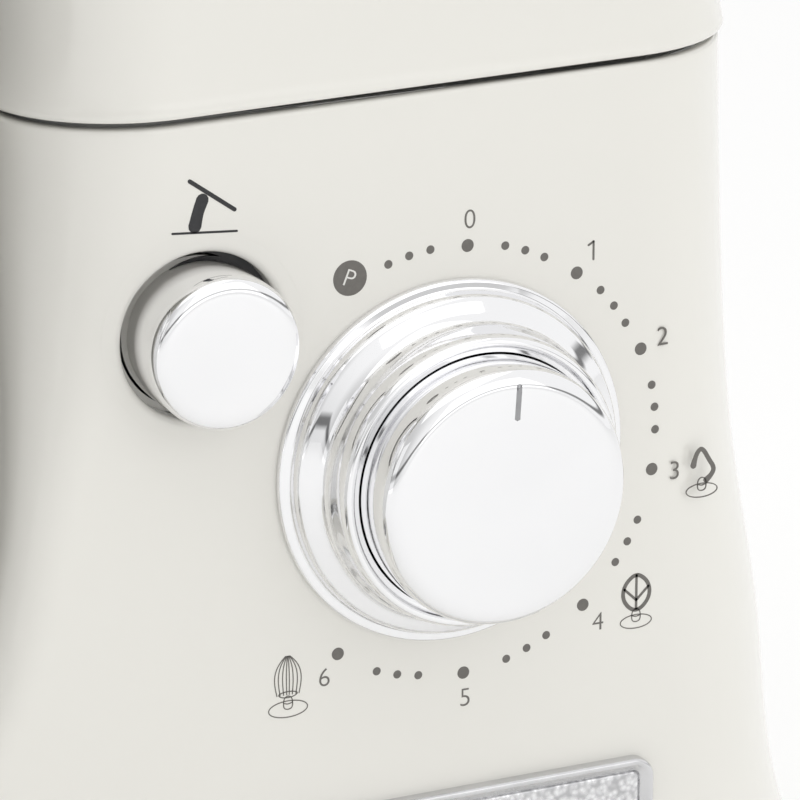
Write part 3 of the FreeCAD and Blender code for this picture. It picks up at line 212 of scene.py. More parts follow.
def spread(tree, value, low, high, fromLow=0.18, fromHigh=0.82):
    mapped = tree.nodes.new("ShaderNodeMapRange")
    mapped.inputs["From Min"].default_value = fromLow
    mapped.inputs["From Max"].default_value = fromHigh
    mapped.inputs["To Min"].default_value = low
    mapped.inputs["To Max"].default_value = high
    tree.links.new(value, mapped.inputs["Value"])
    return mapped.outputs["Result"]


def tint(tree, value, first, second, low=0.2, high=0.8):
    ramp = tree.nodes.new("ShaderNodeValToRGB")
    ramp.color_ramp.elements[0].position = low
    ramp.color_ramp.elements[1].position = high
    ramp.color_ramp.elements[0].color = (*first, 1)
    ramp.color_ramp.elements[1].color = (*second, 1)
    tree.links.new(value, ramp.inputs["Fac"])
    return ramp.outputs["Color"]


def bump(tree, shader, value, depth, strength=1.0, under=None):
    relief = tree.nodes.new("ShaderNodeBump")
    relief.inputs["Distance"].default_value = depth
    relief.inputs["Strength"].default_value = strength
    tree.links.new(value, relief.inputs["Height"])
    if under is not None:
        tree.links.new(under, relief.inputs["Normal"])
    tree.links.new(relief.outputs["Normal"], shader.inputs["Normal"])
    return relief.outputs["Normal"]


def finish(name, look):
    # two colours patched by a noise, roughness spread by a second, a fine grain raised by a third
    material, tree, shader = nodeTree(name)
    vector = coordinates(tree, look.get("stretch", (1, 1, 1)))
    patches = noise(tree, vector, look["patchScale"], 4)
    colour = tint(tree, patches, look["colour"], look["shade"])
    tree.links.new(colour, shader.inputs["Base Color"])
    sheen = noise(tree, vector, look["patchScale"] * 6, 2)
    rough = spread(tree, sheen, look["roughness"] - look["spread"], look["roughness"] + look["spread"])
    tree.links.new(rough, shader.inputs["Roughness"])
    grain = noise(tree, vector, look["grainScale"], 2)
    bump(tree, shader, grain, look["grainDepth"])
    shader.inputs["Metallic"].default_value = look.get("metallic", 0.0)
    shader.inputs["Coat Weight"].default_value = look.get("coat", 0.0)
    shader.inputs["Coat Roughness"].default_value = look.get("coatRoughness", 0.05)
    shader.inputs["Specular IOR Level"].default_value = look.get("specular", 0.5)
    return material


enamelLook = {
    "colour": (0.785, 0.770, 0.718), "shade": (0.797, 0.783, 0.733), "patchScale": 5.0,
    "roughness": 0.26, "spread": 0.015, "grainScale": 420.0, "grainDepth": 0.000012,
    "coat": 0.85, "coatRoughness": 0.045,
}
enamel = finish("creamEnamel", enamelLook)

finishes = {
    "chromeTrim": {
        "colour": (0.86, 0.86, 0.87), "shade": (0.92, 0.92, 0.93), "patchScale": 14.0, "metallic": 1.0,
        "roughness": 0.055, "spread": 0.02, "grainScale": 260.0, "grainDepth": 0.000004,
    },
    "castAlloy": {
        "colour": (0.52, 0.53, 0.54), "shade": (0.62, 0.63, 0.64), "patchScale": 60.0, "metallic": 1.0,
        "roughness": 0.36, "spread": 0.07, "grainScale": 1900.0, "grainDepth": 0.00004,
    },
    "zincSteel": {
        "colour": (0.58, 0.58, 0.55), "shade": (0.74, 0.74, 0.72), "patchScale": 180.0, "metallic": 1.0,
        "roughness": 0.32, "spread": 0.08, "grainScale": 2200.0, "grainDepth": 0.00002,
    },
    "gearSteel": {
        "colour": (0.36, 0.36, 0.37), "shade": (0.50, 0.50, 0.51), "patchScale": 120.0, "metallic": 1.0,
        "roughness": 0.34, "spread": 0.08, "grainScale": 1500.0, "grainDepth": 0.00002,
    },
    "statorIron": {
        "colour": (0.20, 0.20, 0.21), "shade": (0.33, 0.33, 0.34), "patchScale": 90.0, "metallic": 1.0,
        "roughness": 0.45, "spread": 0.08, "grainScale": 900.0, "grainDepth": 0.00008, "stretch": (1, 1, 30),
    },
    "footRubber": {
        "colour": (0.030, 0.030, 0.031), "shade": (0.052, 0.051, 0.050), "patchScale": 110.0,
        "roughness": 0.74, "spread": 0.08, "grainScale": 2400.0, "grainDepth": 0.00006,
    },
    "beltRubber": {
        "colour": (0.020, 0.020, 0.020), "shade": (0.045, 0.044, 0.043), "patchScale": 200.0,
        "roughness": 0.66, "spread": 0.1, "grainScale": 1500.0, "grainDepth": 0.0001, "stretch": (1, 1, 6),
    },
    "blackPlastic": {
        "colour": (0.022, 0.022, 0.023), "shade": (0.036, 0.036, 0.037), "patchScale": 50.0,
        "roughness": 0.42, "spread": 0.06, "grainScale": 2600.0, "grainDepth": 0.00003,
    },
    "greyPlastic": {
        "colour": (0.30, 0.30, 0.30), "shade": (0.36, 0.36, 0.355), "patchScale": 40.0,
        "roughness": 0.46, "spread": 0.06, "grainScale": 2400.0, "grainDepth": 0.00003,
    },
    "gearNylon": {
        "colour": (0.66, 0.63, 0.54), "shade": (0.76, 0.74, 0.66), "patchScale": 70.0,
        "roughness": 0.40, "spread": 0.06, "grainScale": 1400.0, "grainDepth": 0.00002,
    },
    "markGrey": {
        "colour": (0.130, 0.122, 0.110), "shade": (0.165, 0.156, 0.142), "patchScale": 900.0,
        "roughness": 0.50, "spread": 0.08, "grainScale": 5200.0, "grainDepth": 0.00001,
    },
    "markPale": {
        "colour": (0.74, 0.73, 0.69), "shade": (0.80, 0.79, 0.76), "patchScale": 900.0,
        "roughness": 0.45, "spread": 0.08, "grainScale": 5200.0, "grainDepth": 0.00001,
    },
    "pointerMetal": {
        "colour": (0.30, 0.30, 0.31), "shade": (0.40, 0.40, 0.41), "patchScale": 400.0, "metallic": 1.0,
        "roughness": 0.16, "spread": 0.05, "grainScale": 2600.0, "grainDepth": 0.00001,
    },
    "markBlack": {
        "colour": (0.016, 0.016, 0.018), "shade": (0.030, 0.030, 0.032), "patchScale": 900.0,
        "roughness": 0.50, "spread": 0.08, "grainScale": 5200.0, "grainDepth": 0.00001,
    },
}
made = {name: finish(name, look) for name, look in finishes.items()}

steelLook = {"colour": (0.66, 0.66, 0.655), "shade": (0.76, 0.76, 0.755), "roughness": 0.17, "lineScale": 900.0}


def brushedSteel(name, look, centre):
    # fine rings of scratches: the noise is squeezed along the height, so that lines run round the bowl
    material, tree, shader = nodeTree(name)
    vector = coordinates(tree, (1, 1, 60), centre)
    patches = noise(tree, coordinates(tree, (1, 1, 2), centre), 18, 4)
    tree.links.new(tint(tree, patches, look["colour"], look["shade"]), shader.inputs["Base Color"])
    lines = noise(tree, vector, look["lineScale"] / 60, 4, 0.7)
    rough = spread(tree, lines, look["roughness"] - 0.05, look["roughness"] + 0.06)
    tree.links.new(rough, shader.inputs["Roughness"])
    bump(tree, shader, lines, 0.00001)
    shader.inputs["Metallic"].default_value = 1.0
    return material


polishedSteel = brushedSteel("polishedSteel", steelLook, (0, -0.091, 0))

# the badge's pale "shade" is its painted highlight colour, its "colour" the darker tone towards the cell rims
badgeLook = {"colour": (0.50, 0.50, 0.51), "shade": (0.86, 0.86, 0.87), "roughness": 0.24}


def hammeredSilver(name, look):
    # dimples from rounded cells; the base colour is painted brighter towards each cell's centre and darker towards its
    # rim, a painted highlight
    material, tree, shader = nodeTree(name)
    cells = tree.nodes.new("ShaderNodeTexVoronoi")
    cells.feature = "SMOOTH_F1"
    cells.inputs["Scale"].default_value = 900.0
    cells.inputs["Smoothness"].default_value = 0.6
    tree.links.new(coordinates(tree), cells.inputs["Vector"])
    # painted highlight: pale where the cell distance is small, darker towards the cell rims
    colour = tint(tree, cells.outputs["Distance"], look["shade"], look["colour"], 0.1, 0.75)
    tree.links.new(colour, shader.inputs["Base Color"])
    rough = spread(tree, cells.outputs["Distance"], look["roughness"] - 0.06, look["roughness"] + 0.10, 0.0, 0.8)
    tree.links.new(rough, shader.inputs["Roughness"])
    bump(tree, shader, cells.outputs["Distance"], 0.00012)
    shader.inputs["Metallic"].default_value = 1.0
    return material


badgeSilver = hammeredSilver("badgeSilver", badgeLook)
badgeFrameMetal = finish("badgeFrameMetal", {
    "colour": (0.60, 0.60, 0.61), "shade": (0.74, 0.74, 0.75), "patchScale": 90.0, "metallic": 1.0,
    "roughness": 0.20, "spread": 0.06, "grainScale": 1400.0, "grainDepth": 0.00002})


def circuitBoard(name):
    # green lacquer with paler tracks where a fine brick pattern runs
    material, tree, shader = nodeTree(name)
    brick = tree.nodes.new("ShaderNodeTexBrick")
    brick.inputs["Scale"].default_value = 260.0
    brick.inputs["Mortar Size"].default_value = 0.03
    brick.inputs["Color1"].default_value = (0.012, 0.105, 0.040, 1)
    brick.inputs["Color2"].default_value = (0.016, 0.125, 0.050, 1)
    brick.inputs["Mortar"].default_value = (0.050, 0.240, 0.110, 1)
    tree.links.new(coordinates(tree), brick.inputs["Vector"])
    tree.links.new(brick.outputs["Color"], shader.inputs["Base Color"])
    tree.links.new(spread(tree, brick.outputs["Fac"], 0.30, 0.42, 0, 1), shader.inputs["Roughness"])
    bump(tree, shader, brick.outputs["Fac"], 0.00003)
    return material


boardGreen = circuitBoard("boardGreen")
print("finishes ready")

# carried-over nodes take the finish that their slot names

slotFinish = {
    "cream_enamel": enamel, "chrome_trim": made["chromeTrim"], "polished_steel": polishedSteel,
    "cast_alloy": made["castAlloy"], "badge_silver": badgeSilver, "zinc_steel": made["zincSteel"],
    "foot_rubber": made["footRubber"], "black_plastic": made["blackPlastic"], "grey_plastic": made["greyPlastic"],
    "gear_nylon": made["gearNylon"], "board_green": boardGreen, "stator_iron": made["statorIron"],
    "belt_rubber": made["beltRubber"], "gear_steel": made["gearSteel"],
}
slotOf = {part["node"]: part["material_slot"] for part in frame["record"]["subparts"]}
for nodeName, node in nodes.items():
    chosen = slotFinish.get(slotOf.get(nodeName))
    node.data.materials.clear()
    node.data.materials.append(chosen or made["zincSteel"])
print("frame finished")

# the stand: column and base platform in one casting

stand = {
    "centreY": 60.0, "bottom": 5.0, "top": 202.0, "halfWidth": 62.0, "flare": 12.0, "flareTop": 62.0,
    "rearY": 170.4, "rearSpread": 37.0, "rearFall": 72.0, "frontY": 26.0, "frontSweep": 211.0, "frontFall": 35.0,
    "bowlY": -91.0, "platformRadius": 115.0, "platformTop": 46.0, "platformEdge": 12.0,
    "waistRadius": 90.0, "waistX": 151.0, "flank": 61.0, "wall": 3.0, "columns": 372, "rows": 216,
    "notchHalf": 24.6, "notchDepth": 6.8, "rearBelly": 3.0, "bellyHeight": 84.0, "bellySpread": 30.0,
}
seam = {"height": 203.0, "fade": 22.0, "slope": 0.016, "level": 115.0}


def columnHalf(z):
    low = np.clip(stand["flareTop"] - z, 0, None) / (stand["flareTop"] - stand["bottom"])
    return stand["halfWidth"] + stand["flare"] * low ** 2.2


def columnRear(z):
    # an exponential flare, a little fuller at mid height
    flare = stand["rearSpread"] * np.exp((stand["bottom"] - z) / stand["rearFall"])
    belly = stand["rearBelly"] * np.exp(-((z - stand["bellyHeight"]) / stand["bellySpread"]) ** 2)
    return stand["rearY"] + flare + belly


def columnFront(z):
    return stand["frontY"] - stand["frontSweep"] * np.exp(-z / stand["frontFall"])


def frontCorner(z):
    return 10.0 + 17.0 * smoothStep((z - 120.0) / 80.0)


def rearCorner(z):
    return 27.0 + 18.0 * np.exp(-z / 60.0)


def columnReach(turn, z):
    # the column's plan at each height is a rectangle whose corners have their own radii
    centre = stand["centreY"]
    return roundedReach(turn, columnHalf(z), columnFront(z) - centre, columnRear(z) - centre,
                        frontCorner(z), rearCorner(z))


def platformReach(turn):
    # a circle under the bowl, then a hollow waist that meets the column's flank
    across, along = np.abs(np.cos(turn)), np.sin(turn)
    circleY = stand["bowlY"] - stand["centreY"]
    reachOfWaist = stand["platformRadius"] + stand["waistRadius"]
    waistY = circleY + math.sqrt(reachOfWaist ** 2 - stand["waistX"] ** 2)
    past = along * circleY
    toCircle = past + np.sqrt(np.clip(past ** 2 - circleY ** 2 + stand["platformRadius"] ** 2, 0, None))
    past = across * stand["waistX"] + along * waistY
    root = past ** 2 - stand["waistX"] ** 2 - waistY ** 2 + stand["waistRadius"] ** 2
    toWaist = past - np.sqrt(np.clip(root, 0, None))
    share = stand["platformRadius"] / reachOfWaist
    touch = math.atan2(circleY + (waistY - circleY) * share, stand["waistX"] * share)
    flank = math.atan2(waistY, stand["flank"])
    direction = np.arctan2(along, across)
    inside = stand["flank"] - 12.0 * smoothStep((direction - flank) / 0.5)
    toFlank = np.minimum(inside / np.maximum(across, 1e-6), 60.0 / np.maximum(along, 1e-6) + 1e3 * (along < 0.02))
    return np.where(direction < touch, toCircle, np.where(direction < flank, toWaist, toFlank))


def standPoint(turn, slant, sunk=0.0):
    # slant = height - reach; both profiles give height + reach at that slant, and the larger is kept, blended
    columnZ = bisected(lambda z: z - columnReach(turn, z) - slant, np.full(slant.shape, -330.0),
                       np.full(slant.shape, 420.0))
    column = 2 * columnZ - slant
    reach, edge, top = platformReach(turn), stand["platformEdge"], stand["platformTop"]
    share = (slant - top + reach) / edge
    bend = np.pi / 4 + np.arcsin(np.clip(share, -1, 1) / math.sqrt(2))
    onEdge = (reach - edge + edge * np.cos(bend)) + (top - edge + edge * np.sin(bend))
    platform = np.where(share < -1, 2 * reach + slant, np.where(share > 1, 2 * top - slant, onEdge))
    width = 1.5 + 12.0 * smoothStep((-np.sin(turn) - 0.30) / 0.5)
    total = smoothMax(column, platform, width) - 2 * sunk
    return (total - slant) / 2, (total + slant) / 2


def standTop(turn):
    # the rear wall is cut down behind the hinge barrel
    behind = (np.abs(np.cos(turn)) * 111.4 < stand["notchHalf"]) & (np.sin(turn) > 0)
    return stand["top"] - stand["notchDepth"] * behind


def around(turn, reach, height, centreY):
    return np.stack([reach * np.cos(turn), centreY + reach * np.sin(turn), height], -1)


def seamSlope(points):
    # tips the seam between column and head: height shifts with y, fading away above and below it
    points = points.copy()
    fade = np.exp(-((points[..., 2] - seam["height"]) / seam["fade"]) ** 2)
    points[..., 2] += seam["slope"] * (points[..., 1] - seam["level"]) * fade
    return points


def standCasing():
    turn = np.linspace(-np.pi, np.pi, stand["columns"], endpoint=False)[None, :]
    lowest = stand["bottom"] + 0.9
    highest = standTop(turn) - 1.0
    wide = bisected(lambda s: standPoint(turn, s)[1] - lowest, np.full(turn.shape, -330.0),
                    np.full(turn.shape, 0.0))
    narrow = bisected(lambda s: standPoint(turn, s)[1] - highest, np.full(turn.shape, -60.0),
                      np.full(turn.shape, 260.0))
    share = np.linspace(0, 1, stand["rows"])[:, None]
    turns = np.broadcast_to(turn, (stand["rows"], turn.shape[1]))
    reach, height = standPoint(turns, wide + (narrow - wide) * share)
    low, high = reach[0], reach[-1]
    foot = [(-3.0, 4.0), (-3.0, 0.5), (-2.4, 0.0), (-0.9, 0.0), (-0.25, 0.25)]
    lip = [(-0.08, 0.4), (-0.35, 0.75), (-0.8, 0.97), (-1.2, 1.0), (-2.3, 1.0), (-2.9, 0.6), (-3.0, -0.4)]
    below = [np.stack([low + out, np.full(low.shape, stand["bottom"] + up)]) for out, up in foot]
    above = [np.stack([high + out, highest[0] + up]) for out, up in lip]
    inner = np.linspace(1, 0, 46)[1:-1, None]
    liner = standPoint(np.broadcast_to(turn, (len(inner), turn.shape[1])), wide + (narrow - wide) * inner, 3.0)
    rings = [np.array(below), np.stack([reach, height], 1), np.array(above), np.stack(liner, 1)]
    profile = np.concatenate(rings)
    points = around(turn, profile[:, 0], np.maximum(profile[:, 1], stand["bottom"]), stand["centreY"])
    faces = gridFaces(len(profile), turn.shape[1], True, True)
    return openedFor(seamSlope(points.reshape(-1, 3)), faces, buttonRecess)


# the tilt button and its recess

buttonRecess = {"y": 56.5, "z": 160.7, "hole": 15.9, "bore": 14.75, "lip": 1.5, "depth": 5.0, "cut": 19.6}


def panelX(y, z):
    # outer face of the column's dial side: flat, then falling away round the front corner
    radius = frontCorner(z)
    start = columnFront(z) + radius
    into = np.clip(start - y, 0, radius * 0.98)
    return columnHalf(z) - (radius - np.sqrt(radius ** 2 - into ** 2))


def openedFor(points, faces, recess):
    # leaves out the cells over the recess and draws their rim onto a circle
    radius = np.hypot(points[:, 1] - recess["y"], points[:, 2] - recess["z"])
    onSide = points[:, 0] > 30
    inside = (radius < recess["cut"]) & onSide
    gone = inside[faces].any(1)
    kept = faces[~gone]
    rim = np.intersect1d(faces[gone].ravel(), kept.ravel())
    rim = rim[onSide[rim]]
    away = radius[rim]
    goal = recess["cut"]
    points[rim, 1] = recess["y"] + (points[rim, 1] - recess["y"]) * goal / away
    points[rim, 2] = recess["z"] + (points[rim, 2] - recess["z"]) * goal / away
    outside = points[rim, 0] > panelX(points[rim, 1], points[rim, 2]) - 1.4
    rimX = panelX(points[rim, 1], points[rim, 2])
    points[rim, 0] = np.where(outside, rimX, rimX - stand["wall"])
    return points, kept


def recessLip(recess):
    # the panel's own surface, rolled over a small radius into a straight bore
    turn = np.linspace(0, 2 * np.pi, 160, endpoint=False)
    roll = np.radians(np.linspace(0, 90, 9))
    outer = recess["hole"] + recess["lip"]
    cut, depth = recess["cut"], recess["depth"]
    radius = np.concatenate([[cut + 0.3, cut - 0.6, outer + 0.5], outer - recess["lip"] * np.sin(roll),
                             [recess["hole"], recess["bore"], recess["bore"], outer + 1.2, cut + 0.3]])
    sink = np.concatenate([[0.03, 0.0, 0.0], recess["lip"] * (1 - np.cos(roll)),
                           [depth, depth, depth + 1.0, depth + 1.0, 3.0]])
    y = recess["y"] + radius[:, None] * np.cos(turn)
    z = recess["z"] + radius[:, None] * np.sin(turn)
    x = panelX(y, z) - sink[:, None]
    return np.stack([x, y, z], -1)


points, faces = standCasing()
meshPiece("standCasing", points, faces, "stand", enamel, ("stand_shell",))
gridPiece("buttonRecess", recessLip(buttonRecess), "stand", enamel)
print("stand ready")

dial = {"y": 106.0, "z": 130.0, "x": 62.0, "segments": 220}
chrome = made["chromeTrim"]

# bezel: a low rim, a hollow rise and a second tier, turned about the dial's axis

bezelProfile = [
    (32.0, 0.0), (35.5, 0.0), (35.6, 1.6), (33.6, 2.0), (33.1, 4.6), (31.4, 5.6), (29.6, 6.6), (28.6, 8.2),
    (28.4, 14.0), (27.6, 15.3), (26.6, 15.3), (26.2, 14.4), (25.12, 14.3), (25.12, 12.6), (25.7, 1.0),
    (26.5, 0.0),
]
bezelSoft = [0.3, 0.3, 0.7, 0.5, 1.1, 1.0, 1.2, 2.6, 0.9, 0.5, 0.4, 0.3, 0.2, 0.2, 0.3, 0.3]
knobProfile = [
    (3.0, 2.0), (7.0, 2.0), (7.0, 20.0), (21.9, 20.0), (21.9, 2.0), (24.9, 2.0), (24.95, 25.5), (0.0, 26.6),
    (0.0, 22.0), (3.0, 22.0),
]
knobSoft = [0.2, 0.2, 0.5, 0.5, 0.4, 0.5, 3.9, 0.0, 0.0, 0.2]
buttonProfile = [
    (0.0, -8.0), (14.5, -8.0), (14.5, 11.0), (12.7, 12.1), (0.0, 12.6),
]
buttonSoft = [0.0, 0.4, 2.2, 2.0, 0.0]


def dialTurned(name, profile, soft, y, z, body, replaced):
    shape = softened(profile, soft, 9)
    points = turned(shape, (dial["x"], y, z), (1, 0, 0), dial["segments"])
    return gridPiece(name, points, body, chrome, replaced, sharp=60)


dialTurned("speedBezel", bezelProfile, bezelSoft, dial["y"], dial["z"], "stand", ("speed_bezel",))
dialTurned("speedKnob", knobProfile, knobSoft, dial["y"], dial["z"], "speed_dial", ("speed_knob",))
dialTurned("tiltButton", buttonProfile, buttonSoft, buttonRecess["y"], buttonRecess["z"], "tilt_button",
           ("tilt_button",))
print("controls ready")

# the head: lower casing with its neck, top cover, bands and cap

head = {
    "bottom": 203.2, "neckHalf": 62.0, "neckCorner": 27.0, "throatRadius": 30.0, "throatStart": 232.0,
    "underside": 258.0, "split": 276.0, "half": 63.0, "nose": -198.0, "rear": 173.2, "noseCorner": 58.0,
    "rearCorner": 27.0, "edge": 14.0, "domeStart": 282.0, "top": 350.0, "crown": 1.2,
    "lipOut": 0.8, "lipFall": 3.2, "columns": 360, "rows": 190, "wall": 3.0,
}


def neckReach(turn, z):
    # the column's plan, carried up and leaning forward in a quarter circle under the arm
    over = np.clip(z - head["throatStart"], 0, head["throatRadius"] - 0.02)
    lean = head["throatRadius"] - np.sqrt(head["throatRadius"] ** 2 - over ** 2)
    centre = stand["centreY"]
    return roundedReach(turn, head["neckHalf"], columnFront(z) - lean - centre, columnRear(z) - centre,
                        head["neckCorner"], head["neckCorner"])


def armReach(turn, z):
    # the arm's plan, drawn in by a quarter circle towards its underside
    into = np.clip(head["underside"] + head["edge"] - z, 0, head["edge"])
    inset = head["edge"] - np.sqrt(head["edge"] ** 2 - into ** 2)
    centre = stand["centreY"]
    return roundedReach(turn, head["half"] - inset, head["nose"] - centre + inset, head["rear"] - centre - inset,
                        head["noseCorner"] - inset, head["rearCorner"] * (1 - inset / 62.0))


def headPoint(turn, spread, sunk=0.0):
    # spread = height + reach; both profiles give reach - height there, and the larger is kept, blended
    neckTop = head["throatStart"] + head["throatRadius"]
    shape = np.zeros(spread.shape)
    neckZ = bisected(lambda z: z + neckReach(turn, z) - spread, shape + 150.0, shape + neckTop)
    neck = np.where(spread > neckTop + neckReach(turn, shape + neckTop), -400.0, spread - 2 * neckZ)
    armZ = bisected(lambda z: z + armReach(turn, z) - spread, shape + head["underside"], shape + 420.0)
    onUnderside = spread < head["underside"] + armReach(turn, shape + head["underside"])
    arm = np.where(onUnderside, spread - 2 * head["underside"], spread - 2 * armZ)
    out = smoothMax(arm, neck, 7.0) - 2 * sunk
    return (spread + out) / 2, (spread - out) / 2


def headCasing():
    turn = np.linspace(-np.pi, np.pi, head["columns"], endpoint=False)[None, :]
    behind = (np.abs(np.cos(turn)) * 111.4 < stand["notchHalf"]) & (np.sin(turn) > 0)
    floor = head["bottom"] + stand["notchDepth"] * behind
    start, end = floor + 1.0, np.full(turn.shape, head["split"])
    zero = np.zeros(turn.shape)
    low = bisected(lambda s: headPoint(turn, s)[1] - start, zero + 200.0, zero + 420.0)
    high = bisected(lambda s: headPoint(turn, s)[1] - end, zero + 300.0, zero + 700.0)
    share = np.linspace(0, 1, head["rows"])[:, None]
    turns = np.broadcast_to(turn, (head["rows"], turn.shape[1]))
    reach, height = headPoint(turns, low + (high - low) * share)
    reach = reach + head["lipOut"] * np.exp(-(height - start) / head["lipFall"])
    first, last = reach[0], reach[-1]
    under = [(-4.0, 1.1), (-2.6, 0.9), (-2.2, 0.0), (-0.8, -0.95), (-0.25, -0.75), (-0.06, -0.4)]
    middle = [np.stack([first * part, floor[0] + 2.1]) for part in (0.0, 0.35, 0.7)]
    below = middle + [np.stack([first + out, start[0] + up]) for out, up in under]
    above = [np.stack([last - 0.3, end[0] + 0.2]), np.stack([last - 2.9, end[0] + 0.2])]
    inner = np.linspace(1, 0, 40)[1:-1, None]
    liner = headPoint(np.broadcast_to(turn, (len(inner), turn.shape[1])), low + (high - low) * inner, 3.0)
    liner = np.stack(liner, 1)
    liner[:, 1] = np.maximum(liner[:, 1], floor + 4.5)
    lid = [np.stack([liner[-1, 0] * part, floor[0] + 4.5]) for part in (0.6, 0.0)]
    profile = np.concatenate([np.array(below), np.stack([reach, height], 1), np.array(above), liner,
                              np.array(lid)])
    return seamSlope(around(turn, profile[:, 0], profile[:, 1], stand["centreY"]))


def roundOutline(half, low, high, lowRadius, highRadius, arcSteps=34, sideSteps=26):
    # closed plan outlines, one a row: four corner arcs joined by straight runs
    half, low, high, lowRadius, highRadius = [np.atleast_1d(np.asarray(value, float))[:, None]
                                              for value in (half, low, high, lowRadius, highRadius)]
    share = np.linspace(0, 1, arcSteps)[None, :]
    run = np.linspace(0, 1, sideSteps + 2)[None, 1:-1, None]
    corners = ((1, low + lowRadius, lowRadius, -90), (1, high - highRadius, highRadius, 0),
               (-1, high - highRadius, highRadius, 90), (-1, low + lowRadius, lowRadius, 180))
    arcs = []
    for side, centre, radius, start in corners:
        angle = np.radians(start + 90 * share)
        across = side * (half - radius) + radius * np.cos(angle)
        arcs.append(np.stack([across, centre + radius * np.sin(angle)], -1))
    outline = []
    for arc, following in zip(arcs, arcs[1:] + arcs[:1]):
        outline += [arc, arc[:, -1:] * (1 - run) + following[:, :1] * run]
    return np.concatenate(outline, 1)


def domeRings(wall):
    # the side outline drawn in as 1 - cos^(2/3) of an angle, while it rises as its sine, up to one ridge line
    bend = np.radians(90 * (1 - (1 - np.linspace(0, 1, 56)) ** 1.6))
    rise = head["top"] + head["crown"] - head["domeStart"] - wall
    inset = (head["half"] - wall) * (1 - np.clip(np.cos(bend), 0, 1) ** (2 / 3))
    inset = np.concatenate([[0.0], inset])
    height = np.concatenate([[head["split"]], head["domeStart"] + rise * np.sin(bend)])
    total = inset + wall
    rearCorner = np.clip(head["rearCorner"] * (1 - inset / 62.0) - wall, 0, None)
    outline = roundOutline(head["half"] - total, head["nose"] + total, head["rear"] - total,
                           np.clip(head["noseCorner"] - total, 0, None), rearCorner)
    z = np.broadcast_to(height[:, None, None], outline.shape[:2] + (1,))
    return np.concatenate([outline, z], -1)


def topCover():
    # from the outer ridge down to the rim, and up the inside to the inner ridge
    return np.concatenate([domeRings(0.0)[::-1], domeRings(head["wall"])])


def sideBand():
    # a half-round strip carried along the arm's outline
    section = softened([(-0.4, -3.0), (1.2, -3.0), (1.7, -1.6), (1.7, 1.6), (1.2, 3.0), (-0.4, 3.0)],
                       [0.1, 0.7, 0.9, 0.9, 0.7, 0.1], 6)
    out = section[:, 0]
    outline = roundOutline(head["half"] + out, head["nose"] - out, head["rear"] + out,
                           head["noseCorner"] + out, head["rearCorner"] + out)
    z = np.broadcast_to((head["split"] + section[:, 1])[:, None, None], outline.shape[:2] + (1,))
    return np.concatenate([outline, z], -1)


gridPiece("headCasing", headCasing(), "head", enamel, ("head_lower_casing",))
gridPiece("headCover", topCover(), "head", enamel, ("head_top_cover",), wrapRows=False)
gridPiece("sideBand", sideBand(), "head", chrome, ("side_trim_band",), sharp=60)

planetary = {"y": -91.0, "radius": 57.0, "bottom": 213.0, "root": 262.0}


def housingDrum():
    # the drum under the arm, flared where it meets the underside, open below
    low, radius = planetary["bottom"], planetary["radius"]
    flare = np.radians(np.linspace(0, 90, 10))
    outside = np.stack([radius + 5 * (1 - np.cos(flare)), 253.2 + 5 * np.sin(flare)], 1)
    shape = np.concatenate([[(radius - 2.4, low), (radius - 0.8, low), (radius, low + 0.8)], outside,
                            [(radius + 5, planetary["root"]), (radius - 3, planetary["root"]),
                             (radius - 3, low + 0.6)]])
    return turned(shape, (0, planetary["y"], 0), (0, 0, 1), 180)


gridPiece("planetaryDrum", housingDrum(), "head", enamel)
planetaryRing = softened([(51.5, 209.5), (58.3, 209.5), (58.6, 221.0), (57.0, 221.0), (57.0, 213.0),
                          (51.5, 213.0)],
                         [0.6, 1.6, 0.5, 0.2, 0.2, 0.6], 7)
gridPiece("planetaryRing", turned(planetaryRing, (0, planetary["y"], 0), (0, 0, 1), 180), "head",
          chrome, ("planetary_trim_ring",), sharp=60)
capProfile = softened([(0.0, 0.0), (23.0, 0.0), (23.0, 19.4), (20.6, 20.2), (17.2, 20.0), (15.6, 19.0),
                       (8.0, 20.3), (0.0, 20.9)],
                      [0.0, 0.3, 1.2, 1.0, 0.9, 1.0, 3.0, 0.0], 7)
gridPiece("noseCap", turned(capProfile, (0, -184.0, 292.0), (0, -1, 0), 160), "head", chrome,
          ("nose_cap",), sharp=60)
print("head ready")

# printed marks on the dial side: thin raised ink laid on the panel

marks = {
    "ring": 42.0, "numeralGap": 5.1, "numeralHeight": 3.9, "bigDot": 1.25, "smallDot": 0.83, "lift": 0.05,
    "line": 0.21, "park": -28.0, "parkDisc": 3.4, "spread": (-6.0, 0.0, 6.0),
    "places": (("0", 5.0, 41.6), ("1", 38.5, 42.4), ("2", 67.9, 43.4), ("3", 100.9, 43.8), ("4", 139.8, 44.2),
               ("5", 175.9, 43.6), ("6", 213.2, 42.2)),
}


def onPanel(right, up, lift):
    # (right, up) from the dial's axis, laid on the panel's own surface
    y, z = dial["y"] + right, dial["z"] + up
    return np.stack([panelX(y, z) + lift, y, z], -1)


def smoothPath(path, closed, rounds=3):
    # Chaikin's rule: each side gives two points, a quarter and three quarters along it
    path = np.asarray(path, float)
    for number in range(rounds):
        following = np.roll(path, -1, 0)
        both = np.stack([path * 0.75 + following * 0.25, path * 0.25 + following * 0.75], 1)
        if closed:
            path = both.reshape(-1, 2)
        else:
            path = np.concatenate([path[:1], both[:-1].reshape(-1, 2), path[-1:]])
    return path


